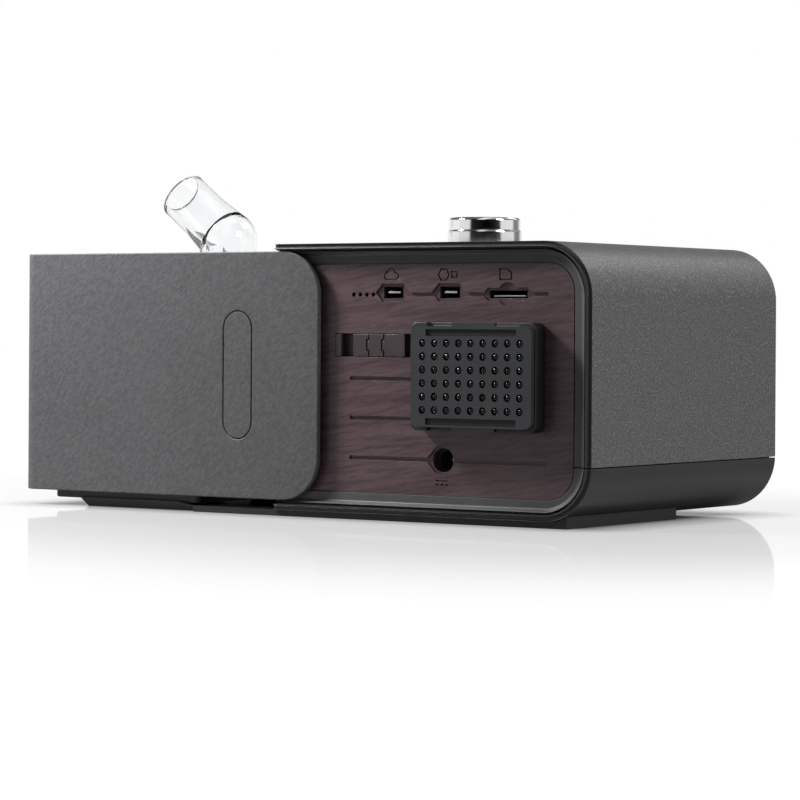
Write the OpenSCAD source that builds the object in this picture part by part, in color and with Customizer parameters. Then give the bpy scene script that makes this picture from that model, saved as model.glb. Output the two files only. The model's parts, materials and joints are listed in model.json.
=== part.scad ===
// Bedside breathing machine with a humidifier module that slides out sideways.
// Drawn with x = 0 at the plain side wall, y = 0 at the rear rim and z = 0 at the floor,
// then moved so that the origin lies under the middle of the whole thing.
// The front is towards -Y and the humidifier is towards +X.

/* [Main casing] */
// Width of the main casing, side wall to docking side
main_w = 153; // [148:1:165]
// Depth of the main casing, rear rim to front rim
main_d = 151; // [148:1:160]
// Height of the main casing above the floor, feet included
main_h = 112; // [110:1:120]
// Radius of the long edges on the plain side
corner_r = 22; // [18:1:24]
// Wall thickness of the casing halves
wall = 2.4; // [2:0.1:3]
// Gap between the casing and the floor
foot_h = 2.6; // [2:0.1:4]
// Height of the joint between the casing halves
seam_z = 24; // [20:1:28]
// Open line between the casing halves
seam_gap = 0.3; // [0.2:0.1:0.6]
// Clearance between parts that are fitted together
fit_gap = 0.3; // [0.2:0.05:0.4]

/* [Rear panel] */
// Depth of the rim land below the rear rim
land_depth = 4.4; // [4:0.1:5]
// Width of the rim land's frame above and below the panel
land_w = 8.4; // [7:0.2:10]
// Width of the rim land's frame on the plain side
land_side_w = 11; // [9:0.5:13]
// Corner radius of the wood-look panel
panel_r = 12; // [8:1:14]
// Depth of the panel's face below the rear rim
panel_depth = 5; // [4.8:0.1:5.6]
// Thickness of the panel
panel_t = 2.4; // [2:0.1:2.8]
// Width of the shallow channels across the panel
channel_w = 1.6; // [1:0.1:2.2]
// Depth of the channels and of the pictograms
groove_t = 0.8; // [0.4:0.1:1]
// Width of the lines of the pictograms
line_w = 0.6; // [0.5:0.1:0.8]
// Diameter of the power inlet's hole
dc_hole_d = 9.8; // [9:0.1:11]
// Width of each link port
port_w = 9.5; // [8:0.1:10]
// Height of each link port
port_h = 4.7; // [4.4:0.1:5.5]
// Width of the card slot
card_w = 17.6; // [15:0.1:19]
// Height of the card slot
card_h = 3; // [2:0.1:3.4]

/* [Filter] */
// Width of the filter housing
filter_w = 59.2; // [56:0.2:60]
// Height of the filter housing
filter_h = 43.2; // [41:0.2:45]
// How far the filter cover stands out of the rear rim
filter_proud = 4.3; // [3:0.1:6]
// Thickness of the cover's grille
grille_t = 2.2; // [1.6:0.1:2.6]
// Diameter of each grille hole
grille_hole_d = 3.2; // [2.4:0.1:3.8]
// Columns of grille holes
grille_cols = 9; // [5:1:9]
// Rows of grille holes
grille_rows = 6; // [3:1:6]

/* [Knob] */
// Diameter of the knob's skirt
knob_d = 31.4; // [26:0.2:36]
// Height of the knob's top above the casing
knob_h = 12.4; // [10:0.2:16]
// Gap under the knob, which is also the room for its press
knob_gap = 1; // [0.8:0.1:2]
// Diameter of the encoder's shaft
shaft_d = 6; // [5:0.5:6]
// Running clearance of a shaft in its bore, on the radius
run_gap = 0.05; // [0.02:0.01:0.1]

/* [Front] */
// Width of the display window
window_w = 96; // [70:1:104]
// Height of the display window
window_h = 58; // [40:1:62]
// Diameter of the start button
start_d = 14; // [10:0.5:16]

/* [Humidifier] */
// Width of the humidifier module
module_w = 93.5; // [90:0.5:100]
// How far the module is slid out at rest
slide_out = 44; // [40:0.5:44.5]
// Gap between the casings when the module is docked
dock_gap = 0.5; // [0.4:0.1:1]
// Width of the rear sliding plate
plate_w = 160; // [159:0.5:161]
// Thickness of the rear sliding plate
plate_t = 2.4; // [2:0.1:2.4]
// Height of the plate's lower edge above the floor
plate_low_z = 6.6; // [6.2:0.1:8]
// Distance from the plate's upper edge to the top of the main casing
plate_drop = 3; // [2.8:0.1:4]
// Radius of the plate's two corners over the panel
plate_r = 18; // [12:1:24]
// Radius at which the plate wraps round the outer side
wrap_r = 7; // [5:0.5:9]
// Radius of the module's front outer edge
front_r = 16; // [8:1:22]
// Wall thickness of the water tank
tank_t = 2; // [1.6:0.1:2.6]
// Height of the water tank
tank_h = 76; // [60:1:76]
// Diameter of the lid's hinge pin
pin_d = 3; // [2.4:0.2:3]

/* [Push button] */
// Width of the push button
push_w = 14.2; // [10:0.2:16]
// Height of the push button
push_h = 52.6; // [40:0.2:60]

/* [Outlet elbow] */
// Outer diameter of the hose end
outlet_d = 22.4; // [22:0.1:22.6]
// Outer diameter of the elbow's upright part
elbow_d = 25.6; // [24.6:0.1:26.4]
// Wall thickness of the elbow
elbow_t = 2.5; // [2:0.1:3]
// Angle of the hose end above the horizontal
elbow_angle = 38; // [30:1:50]
// Length of the hose end, from the bend's centre to the mouth
elbow_len = 33; // [30:0.5:40]
// Length of the straight part at the mouth, which the hose grips
grip_len = 16; // [12:0.5:18]

/* [Hidden] */
$fn = 64;
eps = 0.01;
overall_w = main_w + dock_gap + module_w + slide_out;

// Main casing, inside
floor_z = foot_h + wall;
roof_z = main_h - wall;
land_t = 2.6;
panel_x0 = land_side_w + fit_gap / 2;
panel_x1 = main_w - wall - fit_gap;
panel_z0 = foot_h + land_w - fit_gap;
panel_z1 = main_h - land_w - fit_gap;
panel_back = -panel_depth - panel_t;
frame_y0 = panel_back - 0.1;
frame_t = 2.2;
frame_back = frame_y0 - frame_t;
fascia_t = 4;
fascia_y0 = -main_d + 0.6;
fascia_back = fascia_y0 + fascia_t;
dock_x1 = main_w - fit_gap;
dock_x0 = dock_x1 - wall;

// Features on the rear panel
port_z = main_h - 20;
port_x = [69.7, 97.1];
card_x = 42;
card_z = port_z - 0.8;
dc_x = 72.5;
dc_z = 25;
mark_z = port_z + 7.1;
dot_x0 = 106.5;
dot_pitch = 3.25;
dot_d = 1.8;
channel_x1 = 117.2;
channel_z = [57.2, 41.2, dc_z, port_z - 0.8];
clip_x0 = 88.4;
clip_x1 = 125;
clip_z0 = 66.2;
clip_z1 = 75.1;
catch_w = 2.8;
catch_h = 0.3;
notch_w = 5.7;
small_notch_w = 2.4;

// Filter
filter_x0 = 24.4;
filter_x1 = filter_x0 + filter_w;
filter_z0 = (port_z + dc_z - filter_h) / 2;
filter_z1 = filter_z0 + filter_h;
filter_wall = 2.6;
filter_lip = 3.1;
cover_edge = 1.6;
cover_y1 = filter_proud;
cover_y0 = cover_y1 - grille_t;
housing_y1 = cover_y0 - fit_gap;
grille_margin_x = 5.4;
grille_margin_z = 6.7;
cover_pull = 25;

// Knob and encoder
knob_in = 54.2;
knob_x = main_w - knob_in;
knob_y = -main_d / 2;
knob_top = main_h + knob_h;
cap_h = 5.5;
cap_d = knob_d - 1;
skirt_top = knob_top - cap_h;
encoder_w = 15;
encoder_h = 7.5;
encoder_top = roof_z - 0.2;
encoder_bottom = encoder_top - encoder_h;
plunger_d = 10;

// Blower and air path
socket_len = 15;
duct_len = 11.7;
blower_r = 34;
blower_x = dock_x1 - socket_len - duct_len - blower_r;
blower_y = -main_d + 61;
tank_z0 = 16;
tank_z1 = tank_z0 + tank_h;
air_drop = 16;
air_z = tank_z1 - air_drop;
blower_z0 = air_z - 15.6;
blower_z1 = air_z + 12;
blower_inlet_r = 12;
volute_shift = 14;
air_y = blower_y + volute_shift;
air_r = 9;
duct_t = 1.6;
muffler_z0 = 30;
muffler_z1 = blower_z0 - 4.4;
muffler_t = 1.8;
muffler_x = [30, blower_x + blower_r];
muffler_y = [-main_d + 27, -36];
filter_box_x = [filter_x0 + 1.6, filter_x1 - 1.6];
mount_r = 27;
tray_z0 = 12;
tray_t = 2.4;
tray_z1 = tray_z0 + tray_t;
impeller_r = 24;
motor_r = 13;
motor_z0 = air_z - 1;
motor_shaft_r = 1.5;

// Docking parts that meet between the two casings
spigot_r = 9.9;
spigot_len = 11;
plug_len = 6;
plug_y = [-52, -28];
plug_z = [30, 38];
tongue_len = 62;
tongue_root = 16;
groove_in = 14;
groove_end = 9;
tongue_y = [-main_d + 41, -50];
tongue_z = [6.9, 9.9];
skid_y = [7, 19];

// Humidifier module
module_x0 = main_w + dock_gap + slide_out;
module_x1 = overall_w;
module_y1 = -3.3;
module_y0 = -main_d + 1.5;
plate_x0 = overall_w - plate_w;
plate_y1 = -0.6;
plate_y0 = plate_y1 - plate_t;
plate_z1 = main_h - plate_drop;
lid_t = 4;
lid_gap = 0.4;
lid_z1 = plate_z1 - 0.2;
lid_z0 = lid_z1 - lid_t;
rim_z = lid_z0 - lid_gap;
wrap_y = -14;
module_floor_z = 10.4;
tank_r = 10;
tank_gap_x = 6.7;
tank_gap_y = 8.7;
tank_x0 = module_x0 + tank_gap_x;
tank_x1 = module_x1 - tank_gap_x;
tank_y1 = module_y1 - tank_gap_y;
tank_y0 = module_y0 + tank_gap_y;
flange_w = 1.6;
flange_t = 1.5;
plug_in = 5;
hinge_y = -10.2;
hinge_z = lid_z0;
hinge_r = lid_z1 - lid_z0;
barrel_r = 3.6;
ear_w = 4;
ear_in = 7.5;
latch_w = 30;
latch_h = 8;
latch_z0 = rim_z - 14;
latch_z1 = latch_z0 + latch_h;
latch_x = (module_x0 + module_x1) / 2 - 3;
elbow_x = module_x0 + 40.8;
elbow_y = module_y0 + 70.5;
bend_z = lid_z1 + 8.2;
elbow_snap_z = lid_z0 - 2.6;
push_gap = 0.4;
nose_reach = 4.4;
nose_inset = 0.5;
push_x = clip_x1 - catch_w - notch_w + nose_inset + nose_reach + push_w / 2 + slide_out;
push_z = 57.8;
plate_edge_r = 1.5;

// ---- shared shapes ----

// Puts the drawing's corner frame under the middle of the thing
module place() {
    translate([-overall_w / 2, (main_d - filter_proud) / 2, 0]) children();
}

// Box between two corners
module box(x, y, z) {
    translate([x[0], y[0], z[0]]) cube([x[1] - x[0], y[1] - y[0], z[1] - z[0]]);
}

// Round bars along each axis
module bar_x(x, y, z, r) {
    translate([x[0], y, z]) rotate([0, 90, 0]) cylinder(h = x[1] - x[0], r = r);
}
module bar_y(x, y, z, r) {
    translate([x, y[1], z]) rotate([90, 0, 0]) cylinder(h = y[1] - y[0], r = r);
}
module bar_z(x, y, z, r) {
    translate([x, y, z[0]]) cylinder(h = z[1] - z[0], r = r);
}

// Stands an outline drawn in x and z up between two depths
module slab(y) {
    translate([0, y[1], 0]) rotate([90, 0, 0]) linear_extrude(y[1] - y[0]) children();
}

// Rectangle with its own radius on the low-x corners and on the high-x corners
module rounded(x, z, r_low, r_high) {
    translate([x[0] + r_low, z[0]]) square([x[1] - r_high - x[0] - r_low, z[1] - z[0]]);
    rounded_end(x[0], 1, z, r_low);
    rounded_end(x[1], -1, z, r_high);
}
module rounded_end(edge, side, z, r) {
    translate([edge + side * r - r, z[0] + r]) square([2 * r, z[1] - z[0] - 2 * r]);
    translate([edge + side * r, z[0] + r]) circle(r);
    translate([edge + side * r, z[1] - r]) circle(r);
}

// Upright stadium outline
module stadium(x, z, w, h) {
    translate([x - w / 2, z - h / 2 + w / 2]) square([w, h - w]);
    translate([x, z - h / 2 + w / 2]) circle(w / 2);
    translate([x, z + h / 2 - w / 2]) circle(w / 2);
}

// Main casing's outline, set in from its outer surface
module casing_outline(inset, reach = 0) {
    r = corner_r - inset;
    x = inset;
    z = foot_h + inset;
    h = main_h - foot_h - 2 * inset;
    translate([x + r, z]) square([main_w + reach - x - r, h]);
    translate([x, z + r]) square([2 * r, h - 2 * r]);
    translate([x + r, z + r]) circle(r);
    translate([x + r, z + h - r]) circle(r);
}

// Outline that the rim land leaves open, or that the panel fills
module panel_outline(inset, x1) {
    r = panel_r - inset;
    x = land_side_w + inset;
    z = foot_h + land_w - fit_gap + inset;
    h = main_h - foot_h - 2 * land_w + 2 * fit_gap - 2 * inset;
    translate([x + r, z]) square([x1 - x - r, h]);
    translate([x, z + r]) square([2 * r, h - 2 * r]);
    translate([x + r, z + r]) circle(r);
    translate([x + r, z + h - r]) circle(r);
}

// Shallow channel along x with round ends
module channel(x0, x1, z) {
    translate([x0, z - channel_w / 2]) square([x1 - x0, channel_w]);
    translate([x0, z]) circle(channel_w / 2);
    translate([x1, z]) circle(channel_w / 2);
}

// Long hexagon that widens a channel round a socket
module lozenge(x, z, half, tall, tip) {
    polygon([
        [x - half - tip, z], [x - half, z + tall], [x + half, z + tall],
        [x + half + tip, z], [x + half, z - tall], [x - half, z - tall]
    ]);
}

// ---- main casing ----

// Both halves of the casing in one, before they are parted at the joint
module casing_tube() {
    slab([-main_d, 0]) difference() {
        casing_outline(0);
        casing_outline(wall, 1);
    }
    slab([-land_depth - land_t, -land_depth]) difference() {
        casing_outline(wall / 2);
        panel_outline(0, main_w + 1);
    }
}

module upper_shell() {
    color([0.27, 0.275, 0.28]) place() difference() {
        intersection() {
            casing_tube();
            box([-1, main_w + 1], [-main_d - 1, 1], [seam_z + seam_gap / 2, main_h + 1]);
        }
        bar_z(knob_x, knob_y, [roof_z - 1, main_h + 1], shaft_d / 2 + 1);
    }
}

screw_x = [44, main_w - 35];
screw_y = [-main_d + 21, -20];
screw_hole_r = 1.8;
screw_head_r = 3;
module lower_shell() {
    color([0.13, 0.13, 0.135]) place() difference() {
        union() {
            intersection() {
                casing_tube();
                box([-1, main_w + 1], [-main_d - 1, 1], [-1, seam_z - seam_gap / 2]);
            }
            // Guides for the docking tongue
            for (y = [tongue_y[0] - 2.7, tongue_y[1] + 0.7])
                box([80, dock_x0 - fit_gap], [y, y + 2], [floor_z - 1, tray_z0 - 0.2]);
        }
        for (x = screw_x, y = screw_y) {
            bar_z(x, y, [foot_h - 1, floor_z + 1], screw_hole_r);
            bar_z(x, y, [foot_h - 1, foot_h + 1.2], screw_head_r);
        }
    }
}

module dock_wall() {
    color([0.1, 0.1, 0.105]) place() difference() {
        box([dock_x0, dock_x1], [fascia_back + fit_gap, frame_back - 0.2],
            [floor_z + 0.2, roof_z - 0.2]);
        bar_x([dock_x0 - 1, dock_x1 + 1], air_y, air_z, spigot_r + duct_t + 0.9);
        box([dock_x0 - 1, dock_x1 + 1], [plug_y[0] - 2.2, plug_y[1] + 2.2],
            [plug_z[0] - 2.2, plug_z[1] + 2.2]);
        box([dock_x0 - 1, dock_x1 + 1], [tongue_y[0] - 0.6, tongue_y[1] + 0.6],
            [tongue_z[0] - 0.5, tongue_z[1] + 0.5]);
    }
}

// Dark frame behind the wood-look panel, which holds the sockets and the filter
module rear_frame() {
    color([0.06, 0.06, 0.065]) place() difference() {
        slab([frame_back, frame_y0]) casing_outline(wall + 0.2, -wall - fit_gap);
        for (x = port_x) box_y(x, port_z, port_w + 0.6, port_h + 0.6);
        box_y(card_x, card_z, card_w + 0.6, card_h + 0.6);
        bar_y(dc_x, [frame_back - 1, frame_y0 + 1], dc_z, dc_hole_d / 2);
        box([filter_x0 + filter_lip, filter_x1 - filter_lip], [frame_back - 1, frame_y0 + 1],
            [filter_z0 + filter_lip, filter_z1 - filter_lip]);
        box([clip_x0 - fit_gap, clip_x1 + fit_gap], [frame_back - 1, frame_y0 + 1],
            [clip_z0 - fit_gap, clip_z1 + fit_gap]);
    }
}

// Rectangular hole through the frame and the panel
module box_y(x, z, w, h) {
    box([x - w / 2, x + w / 2], [frame_back - 1, 1], [z - h / 2, z + h / 2]);
}

// Pictogram above the first port: a cloud
module cloud_mark(x, z) {
    difference() {
        cloud_shape(x, z, 0);
        cloud_shape(x, z, line_w);
    }
}
module cloud_shape(x, z, inset) {
    translate([x - 2, z - 0.4]) circle(1.7 - inset);
    translate([x + 2.2, z - 0.6]) circle(1.5 - inset);
    translate([x + 0.2, z + 0.6]) circle(2.3 - inset);
    translate([x - 2, z - 2.1 + inset]) square([4.2, 2.6 - inset]);
}

// Pictogram above the second port: a plug and a hexagon
module plug_mark(x, z) {
    difference() {
        translate([x + 2, z]) circle(2.9, $fn = 6);
        translate([x + 2, z]) circle(2.9 - 1.15 * line_w, $fn = 6);
    }
    difference() {
        translate([x - 4.6, z - 1.4]) square([3, 2.8]);
        translate([x - 4.6 + line_w, z - 1.4 + line_w]) square([3 - 2 * line_w, 2.8 - 2 * line_w]);
    }
}

// Pictogram above the card slot: a card with a cut corner
module card_mark(x, z) {
    difference() {
        card_shape(x, z, 0);
        card_shape(x, z, line_w);
    }
}
module card_shape(x, z, inset) {
    half_w = 3 - inset;
    half_h = 2.4 - inset;
    cut = 1.8 - inset * 0.6;
    polygon([
        [x - half_w, z - half_h], [x + half_w, z - half_h], [x + half_w, z + half_h],
        [x - half_w + cut, z + half_h], [x - half_w, z + half_h - cut]
    ]);
}

// Pictogram under the power inlet: a solid line over a broken line
module direct_current_mark(x, z) {
    translate([x - 3, z + 0.5]) square([6, line_w]);
    for (i = [-1, 0, 1]) translate([x + i * 2.3 - 0.7, z - 1]) square([1.4, line_w]);
}

// Everything that is sunk a little into the panel's face
module panel_relief() {
    for (x = port_x) lozenge(x, port_z, port_w / 2 + 0.3, port_h / 2 + 1.3, 3.3);
    lozenge(card_x, card_z, card_w / 2 + 0.4, card_h / 2 + 1.1, 2.6);
    translate([card_x, card_z]) circle(4.7);
    channel(card_x - card_w - 0.8, port_x[1], channel_z[3]);
    cloud_mark(port_x[1] + 0.6, mark_z);
    plug_mark(port_x[0] + 0.6, mark_z);
    card_mark(card_x + 1, mark_z);
    direct_current_mark(dc_x, dc_z - 9);
    for (i = [0, 1]) channel(filter_x1 - 6, channel_x1, channel_z[i]);
    channel(card_x - card_w - 0.4, channel_x1, channel_z[2]);
    lozenge(dc_x, dc_z, 3.2, 4.9, 5);
    translate([dc_x, dc_z]) circle(dc_hole_d / 2 + 1);
}

module rear_panel() {
    color([0.25, 0.15, 0.14]) place() difference() {
        slab([panel_back, -panel_depth]) panel_outline(fit_gap, panel_x1);
        slab([-panel_depth - groove_t, 1]) panel_relief();
        // Light pipes beside the first port
        for (i = [0:3]) bar_y(dot_x0 + i * dot_pitch, [frame_back, 1], channel_z[3], dot_d / 2);
        for (x = port_x) box_y(x, port_z, port_w, port_h);
        box_y(card_x, card_z, card_w, card_h);
        // Thumb hollow over the card slot
        translate([card_x, -panel_depth + 6, card_z]) sphere(r = 7.2);
        bar_y(dc_x, [frame_back - 1, 1], dc_z, dc_hole_d / 2);
        box([filter_x0 + filter_lip, filter_x1 - filter_lip], [frame_back - 1, 1],
            [filter_z0 + filter_lip, filter_z1 - filter_lip]);
        box([clip_x0 - fit_gap, clip_x1 + fit_gap], [frame_back - 1, 1],
            [clip_z0 - fit_gap, clip_z1 + fit_gap]);
    }
}

// Insert that catches the push button's latch
module clip_insert() {
    color([0.2, 0.13, 0.125]) place() difference() {
        union() {
            box([clip_x0, clip_x1], [frame_back, -panel_depth], [clip_z0, clip_z1]);
            box([clip_x1 - catch_w, clip_x1], [-panel_depth - 1, -panel_depth + catch_h],
                [clip_z0, clip_z1]);
            box([clip_x0 + small_notch_w, clip_x0 + small_notch_w + 1.9],
                [-panel_depth - 1, -panel_depth + catch_h], [clip_z0, clip_z1]);
        }
        box([clip_x1 - catch_w - notch_w, clip_x1 - catch_w], [-panel_depth - 3, 1],
            [clip_z0 - 1, clip_z1 + 1]);
        box([clip_x0 - 1, clip_x0 + small_notch_w], [-panel_depth - 3, 1],
            [clip_z0 - 1, clip_z1 + 1]);
        // Interlocking outline of the rail
        slab([-panel_depth - groove_t, 1]) for (x = [clip_x0 + 12.6, clip_x0 + 20]) {
            translate([x, clip_z0 - 1]) square([line_w, 3.6]);
            translate([x, clip_z1 - 2.6]) square([line_w, 3.6]);
            translate([x + 1, clip_z0 + 2]) square([line_w, clip_z1 - clip_z0 - 4]);
            for (z = [clip_z0 + 2, clip_z1 - 2.6]) translate([x, z]) square([1 + line_w, line_w]);
        }
    }
}

// ---- filter ----

module filter_housing() {
    color([0.035, 0.035, 0.04]) place() difference() {
        union() {
            slab([-panel_depth + 0.1, housing_y1])
                rounded([filter_x0, filter_x1], [filter_z0, filter_z1], 3, 3);
            // Neck that passes through the panel and the frame
            box([filter_x0 + filter_lip + 0.2, filter_x1 - filter_lip - 0.2],
                [frame_back - 0.6, -panel_depth + 1],
                [filter_z0 + filter_lip + 0.2, filter_z1 - filter_lip - 0.2]);
        }
        box([filter_x0 + filter_lip + filter_wall, filter_x1 - filter_lip - filter_wall],
            [frame_back - 2, housing_y1 + 1],
            [filter_z0 + filter_lip + filter_wall, filter_z1 - filter_lip - filter_wall]);
        // Latch slots above and below
        for (z = [filter_z0 - 1, filter_z1 - 1.6])
            box([filter_x0 + 8, filter_x1 - 8], [housing_y1 - 3, housing_y1 + 1], [z, z + 2.6]);
    }
}

module air_filter() {
    m = filter_lip + filter_wall + 0.2;
    color([0.85, 0.86, 0.86]) place()
        box([filter_x0 + m, filter_x1 - m], [frame_back - 0.4, housing_y1 - 3.4],
            [filter_z0 + m, filter_z1 - m]);
}

module filter_cover() {
    x = [filter_x0 + 0.6, filter_x1 - 2];
    z = [filter_z0 + cover_edge, filter_z1 - cover_edge];
    hole_x = (x[1] - x[0] - 2 * grille_margin_x) / (grille_cols - 1);
    hole_z = (z[1] - z[0] - 2 * grille_margin_z) / (grille_rows - 1);
    m = filter_lip + filter_wall + 0.3;
    color([0.04, 0.04, 0.045]) place() difference() {
        union() {
            slab([cover_y0, cover_y1]) rounded(x, z, 3, 3);
            // Frame that plugs into the housing
            difference() {
                box([filter_x0 + m, filter_x1 - m], [housing_y1 - 3, cover_y0 + eps],
                    [filter_z0 + m, filter_z1 - m]);
                box([filter_x0 + m + 1.6, filter_x1 - m - 1.6], [housing_y1 - 4, cover_y0 + 1],
                    [filter_z0 + m + 1.6, filter_z1 - m - 1.6]);
            }
            // Finger tabs
            for (s = [0, 1]) box([filter_x0 + 18, filter_x0 + 38], [cover_y0, cover_y1 - 0.5],
                s == 0 ? [z[0] - 1.4, z[0] + 1] : [z[1] - 1, z[1] + 1.4]);
        }
        for (i = [0:grille_cols - 1], j = [0:grille_rows - 1])
            bar_y(x[0] + grille_margin_x + i * hole_x, [cover_y0 - 1, cover_y1 + 1],
                z[0] + grille_margin_z + j * hole_z, grille_hole_d / 2);
        for (s = [z[0] + 1.2, z[1] - 2.6])
            box([x[0] + 7, x[1] - 7], [cover_y1 - 1.4, cover_y1 + 1], [s, s + 1.4]);
    }
}

// ---- sockets behind the panel ----

jack_len = 16;
jack_r = 5.6;
module dc_jack() {
    color([0.05, 0.05, 0.055]) place() difference() {
        union() {
            bar_y(dc_x, [frame_back - jack_len, frame_back - 0.1], dc_z, jack_r);
            box([dc_x - jack_r, dc_x + jack_r], [frame_back - jack_len, frame_back - 2],
                [tray_z1 + 0.1, dc_z]);
        }
        bar_y(dc_x, [frame_back - jack_len + 2, 0], dc_z, dc_hole_d / 2 - 0.9);
        bar_y(dc_x, [frame_back - jack_len - 1, 0], dc_z, 1.05);
    }
}

module dc_pin() {
    color([0.8, 0.7, 0.45]) place()
        bar_y(dc_x, [frame_back - jack_len + 0.2, frame_back - 4], dc_z, 1.03);
}

board_z = port_z - port_h / 2 - 2.6;
board_depth = 30;
socket_d = 9;
module link_ports() {
    color([0.7, 0.7, 0.72]) place() for (x = port_x) difference() {
        box([x - port_w / 2, x + port_w / 2], [frame_back - socket_d, frame_back - 0.1],
            [port_z - port_h / 2, port_z + port_h / 2]);
        box([x - port_w / 2 + 0.6, x + port_w / 2 - 0.6], [frame_back - socket_d + 1, frame_back],
            [port_z - port_h / 2 + 0.6, port_z + port_h / 2 - 0.6]);
    }
}

module card_reader() {
    color([0.6, 0.61, 0.63]) place() difference() {
        box([card_x - card_w / 2 - 2, card_x + card_w / 2 + 2],
            [frame_back - 3 * socket_d, frame_back - 0.1],
            [board_z + 0.1, card_z + card_h / 2 + 0.8]);
        box([card_x - card_w / 2, card_x + card_w / 2],
            [frame_back - 3 * socket_d + 2, frame_back], [card_z - card_h / 2, card_z + card_h / 2]);
    }
}

module port_board() {
    color([0.05, 0.3, 0.16]) place() difference() {
        box([card_x - card_w, port_x[1] + port_w], [frame_back - board_depth, frame_back - 0.2],
            [board_z - 1.6, board_z]);
    }
    // Blocks that carry the two ports at the height of their holes
    color([0.08, 0.08, 0.085]) place() for (x = port_x)
        box([x - port_w / 2, x + port_w / 2], [frame_back - socket_d, frame_back - 0.4],
            [board_z - eps, port_z - port_h / 2 - 0.05]);
}

// ---- front ----

window_x = main_w / 2;
window_z = 66;
start_z = 22;
module front_fascia() {
    color([0.05, 0.05, 0.055]) place() difference() {
        slab([fascia_y0, fascia_back]) casing_outline(wall + 0.2, -0.2);
        // Seat of the window, and the opening for the display behind it
        slab([fascia_y0 - 1, fascia_y0 + 1.8])
            rounded([window_x - window_w / 2 - 0.2, window_x + window_w / 2 + 0.2],
                [window_z - window_h / 2 - 0.2, window_z + window_h / 2 + 0.2], 5, 5);
        box([window_x - window_w / 2 + 5, window_x + window_w / 2 - 5],
            [fascia_y0 - 1, fascia_back + 1],
            [window_z - window_h / 2 + 5, window_z + window_h / 2 - 5]);
        bar_y(window_x, [fascia_y0 - 1, fascia_back + 1], start_z, start_d / 2 + 0.3);
    }
}

module display_window() {
    color([0.02, 0.02, 0.025]) place() slab([fascia_y0, fascia_y0 + 1.6])
        rounded([window_x - window_w / 2, window_x + window_w / 2],
            [window_z - window_h / 2, window_z + window_h / 2], 4.8, 4.8);
}

module display_panel() {
    color([0.1, 0.14, 0.18]) place()
        box([window_x - window_w / 2 + 5.4, window_x + window_w / 2 - 5.4],
            [fascia_y0 + 1.9, fascia_y0 + 6.6],
            [window_z - window_h / 2 + 5.4, window_z + window_h / 2 - 5.4]);
}

module main_board() {
    color([0.05, 0.3, 0.16]) place() difference() {
        box([14, dock_x0 - 2], [fascia_y0 + 6.9, fascia_y0 + 8.5], [tray_z1 + 0.2, roof_z - 8]);
        box([window_x - 4, window_x + 4], [fascia_y0 + 6, fascia_y0 + 9], [tray_z1, tray_z1 + 2]);
    }
    // Tact switch behind the start button
    color([0.08, 0.08, 0.085]) place()
        box([window_x - 3, window_x + 3], [fascia_y0 + 5.6, fascia_y0 + 6.9 + eps],
            [start_z - 3, start_z + 3]);
}

module start_button() {
    color([0.55, 0.56, 0.58]) place() {
        bar_y(window_x, [fascia_y0 - 0.3, fascia_back - 0.2], start_z, start_d / 2);
        bar_y(window_x, [fascia_back - 0.3, fascia_y0 + 4.6], start_z, start_d / 2 - 4);
    }
}

// ---- knob ----

module encoder_body() {
    color([0.3, 0.3, 0.32]) place() difference() {
        union() {
            box([knob_x - encoder_w / 2, knob_x + encoder_w / 2],
                [knob_y - encoder_w / 2, knob_y + encoder_w / 2], [encoder_bottom, encoder_top]);
        }
        bar_z(knob_x, knob_y, [encoder_bottom + 1.2, encoder_top + 1],
            plunger_d / 2 + run_gap);
    }
}

module encoder_plunger() {
    color([0.75, 0.75, 0.76]) place() difference() {
        bar_z(knob_x, knob_y, [encoder_bottom + 2.2, encoder_top], plunger_d / 2);
        bar_z(knob_x, knob_y, [encoder_bottom + 3.4, encoder_top + 1], shaft_d / 2 + run_gap);
    }
}

module encoder_shaft() {
    color([0.78, 0.78, 0.8]) place()
        bar_z(knob_x, knob_y, [encoder_bottom + 3.5, skirt_top + 2], shaft_d / 2);
}

module knob_skirt() {
    color([0.7, 0.7, 0.72]) place() translate([knob_x, knob_y, 0]) difference() {
        rotate_extrude() polygon([
            [0, main_h + knob_gap], [knob_d / 2 - 1.6, main_h + knob_gap],
            [knob_d / 2 - 1, main_h + knob_gap + 0.6], [knob_d / 2, skirt_top - 1.6],
            [knob_d / 2, skirt_top - 0.4], [knob_d / 2 - 0.4, skirt_top], [0, skirt_top]
        ]);
        translate([0, 0, main_h]) cylinder(h = knob_h, r = shaft_d / 2 + 0.02);
    }
}

module knob_cap() {
    color([0.9, 0.9, 0.91]) place() translate([knob_x, knob_y, 0]) difference() {
        rotate_extrude() polygon([
            [0, skirt_top + 0.05], [cap_d / 2, skirt_top + 0.05], [cap_d / 2, knob_top - 0.9],
            [cap_d / 2 - 0.3, knob_top - 0.3], [cap_d / 2 - 1, knob_top], [0, knob_top]
        ]);
        translate([0, 0, skirt_top - 1]) cylinder(h = 3.2, r = shaft_d / 2 + 0.02);
    }
}

// ---- inside the main casing ----

module chassis_tray() {
    color([0.16, 0.16, 0.17]) place() difference() {
        union() {
            box([14, dock_x0 - fit_gap], [fascia_back + 6, frame_back - 0.4],
                [tray_z0, tray_z1]);
            // Screw bosses down to the lower shell
            for (x = screw_x, y = screw_y) bar_z(x, y, [floor_z + 0.1, tray_z0 + eps], 4);
            // Posts that carry the muffler and the rear box
            for (x = muffler_x + [10, -10], y = muffler_y + [6, -8])
                bar_z(x, y, [tray_z1 - eps, muffler_z0 - 0.2], 4);
        }
        for (x = screw_x, y = screw_y) bar_z(x, y, [floor_z - 1, tray_z1 + 1], 1.3);
    }
}

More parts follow.
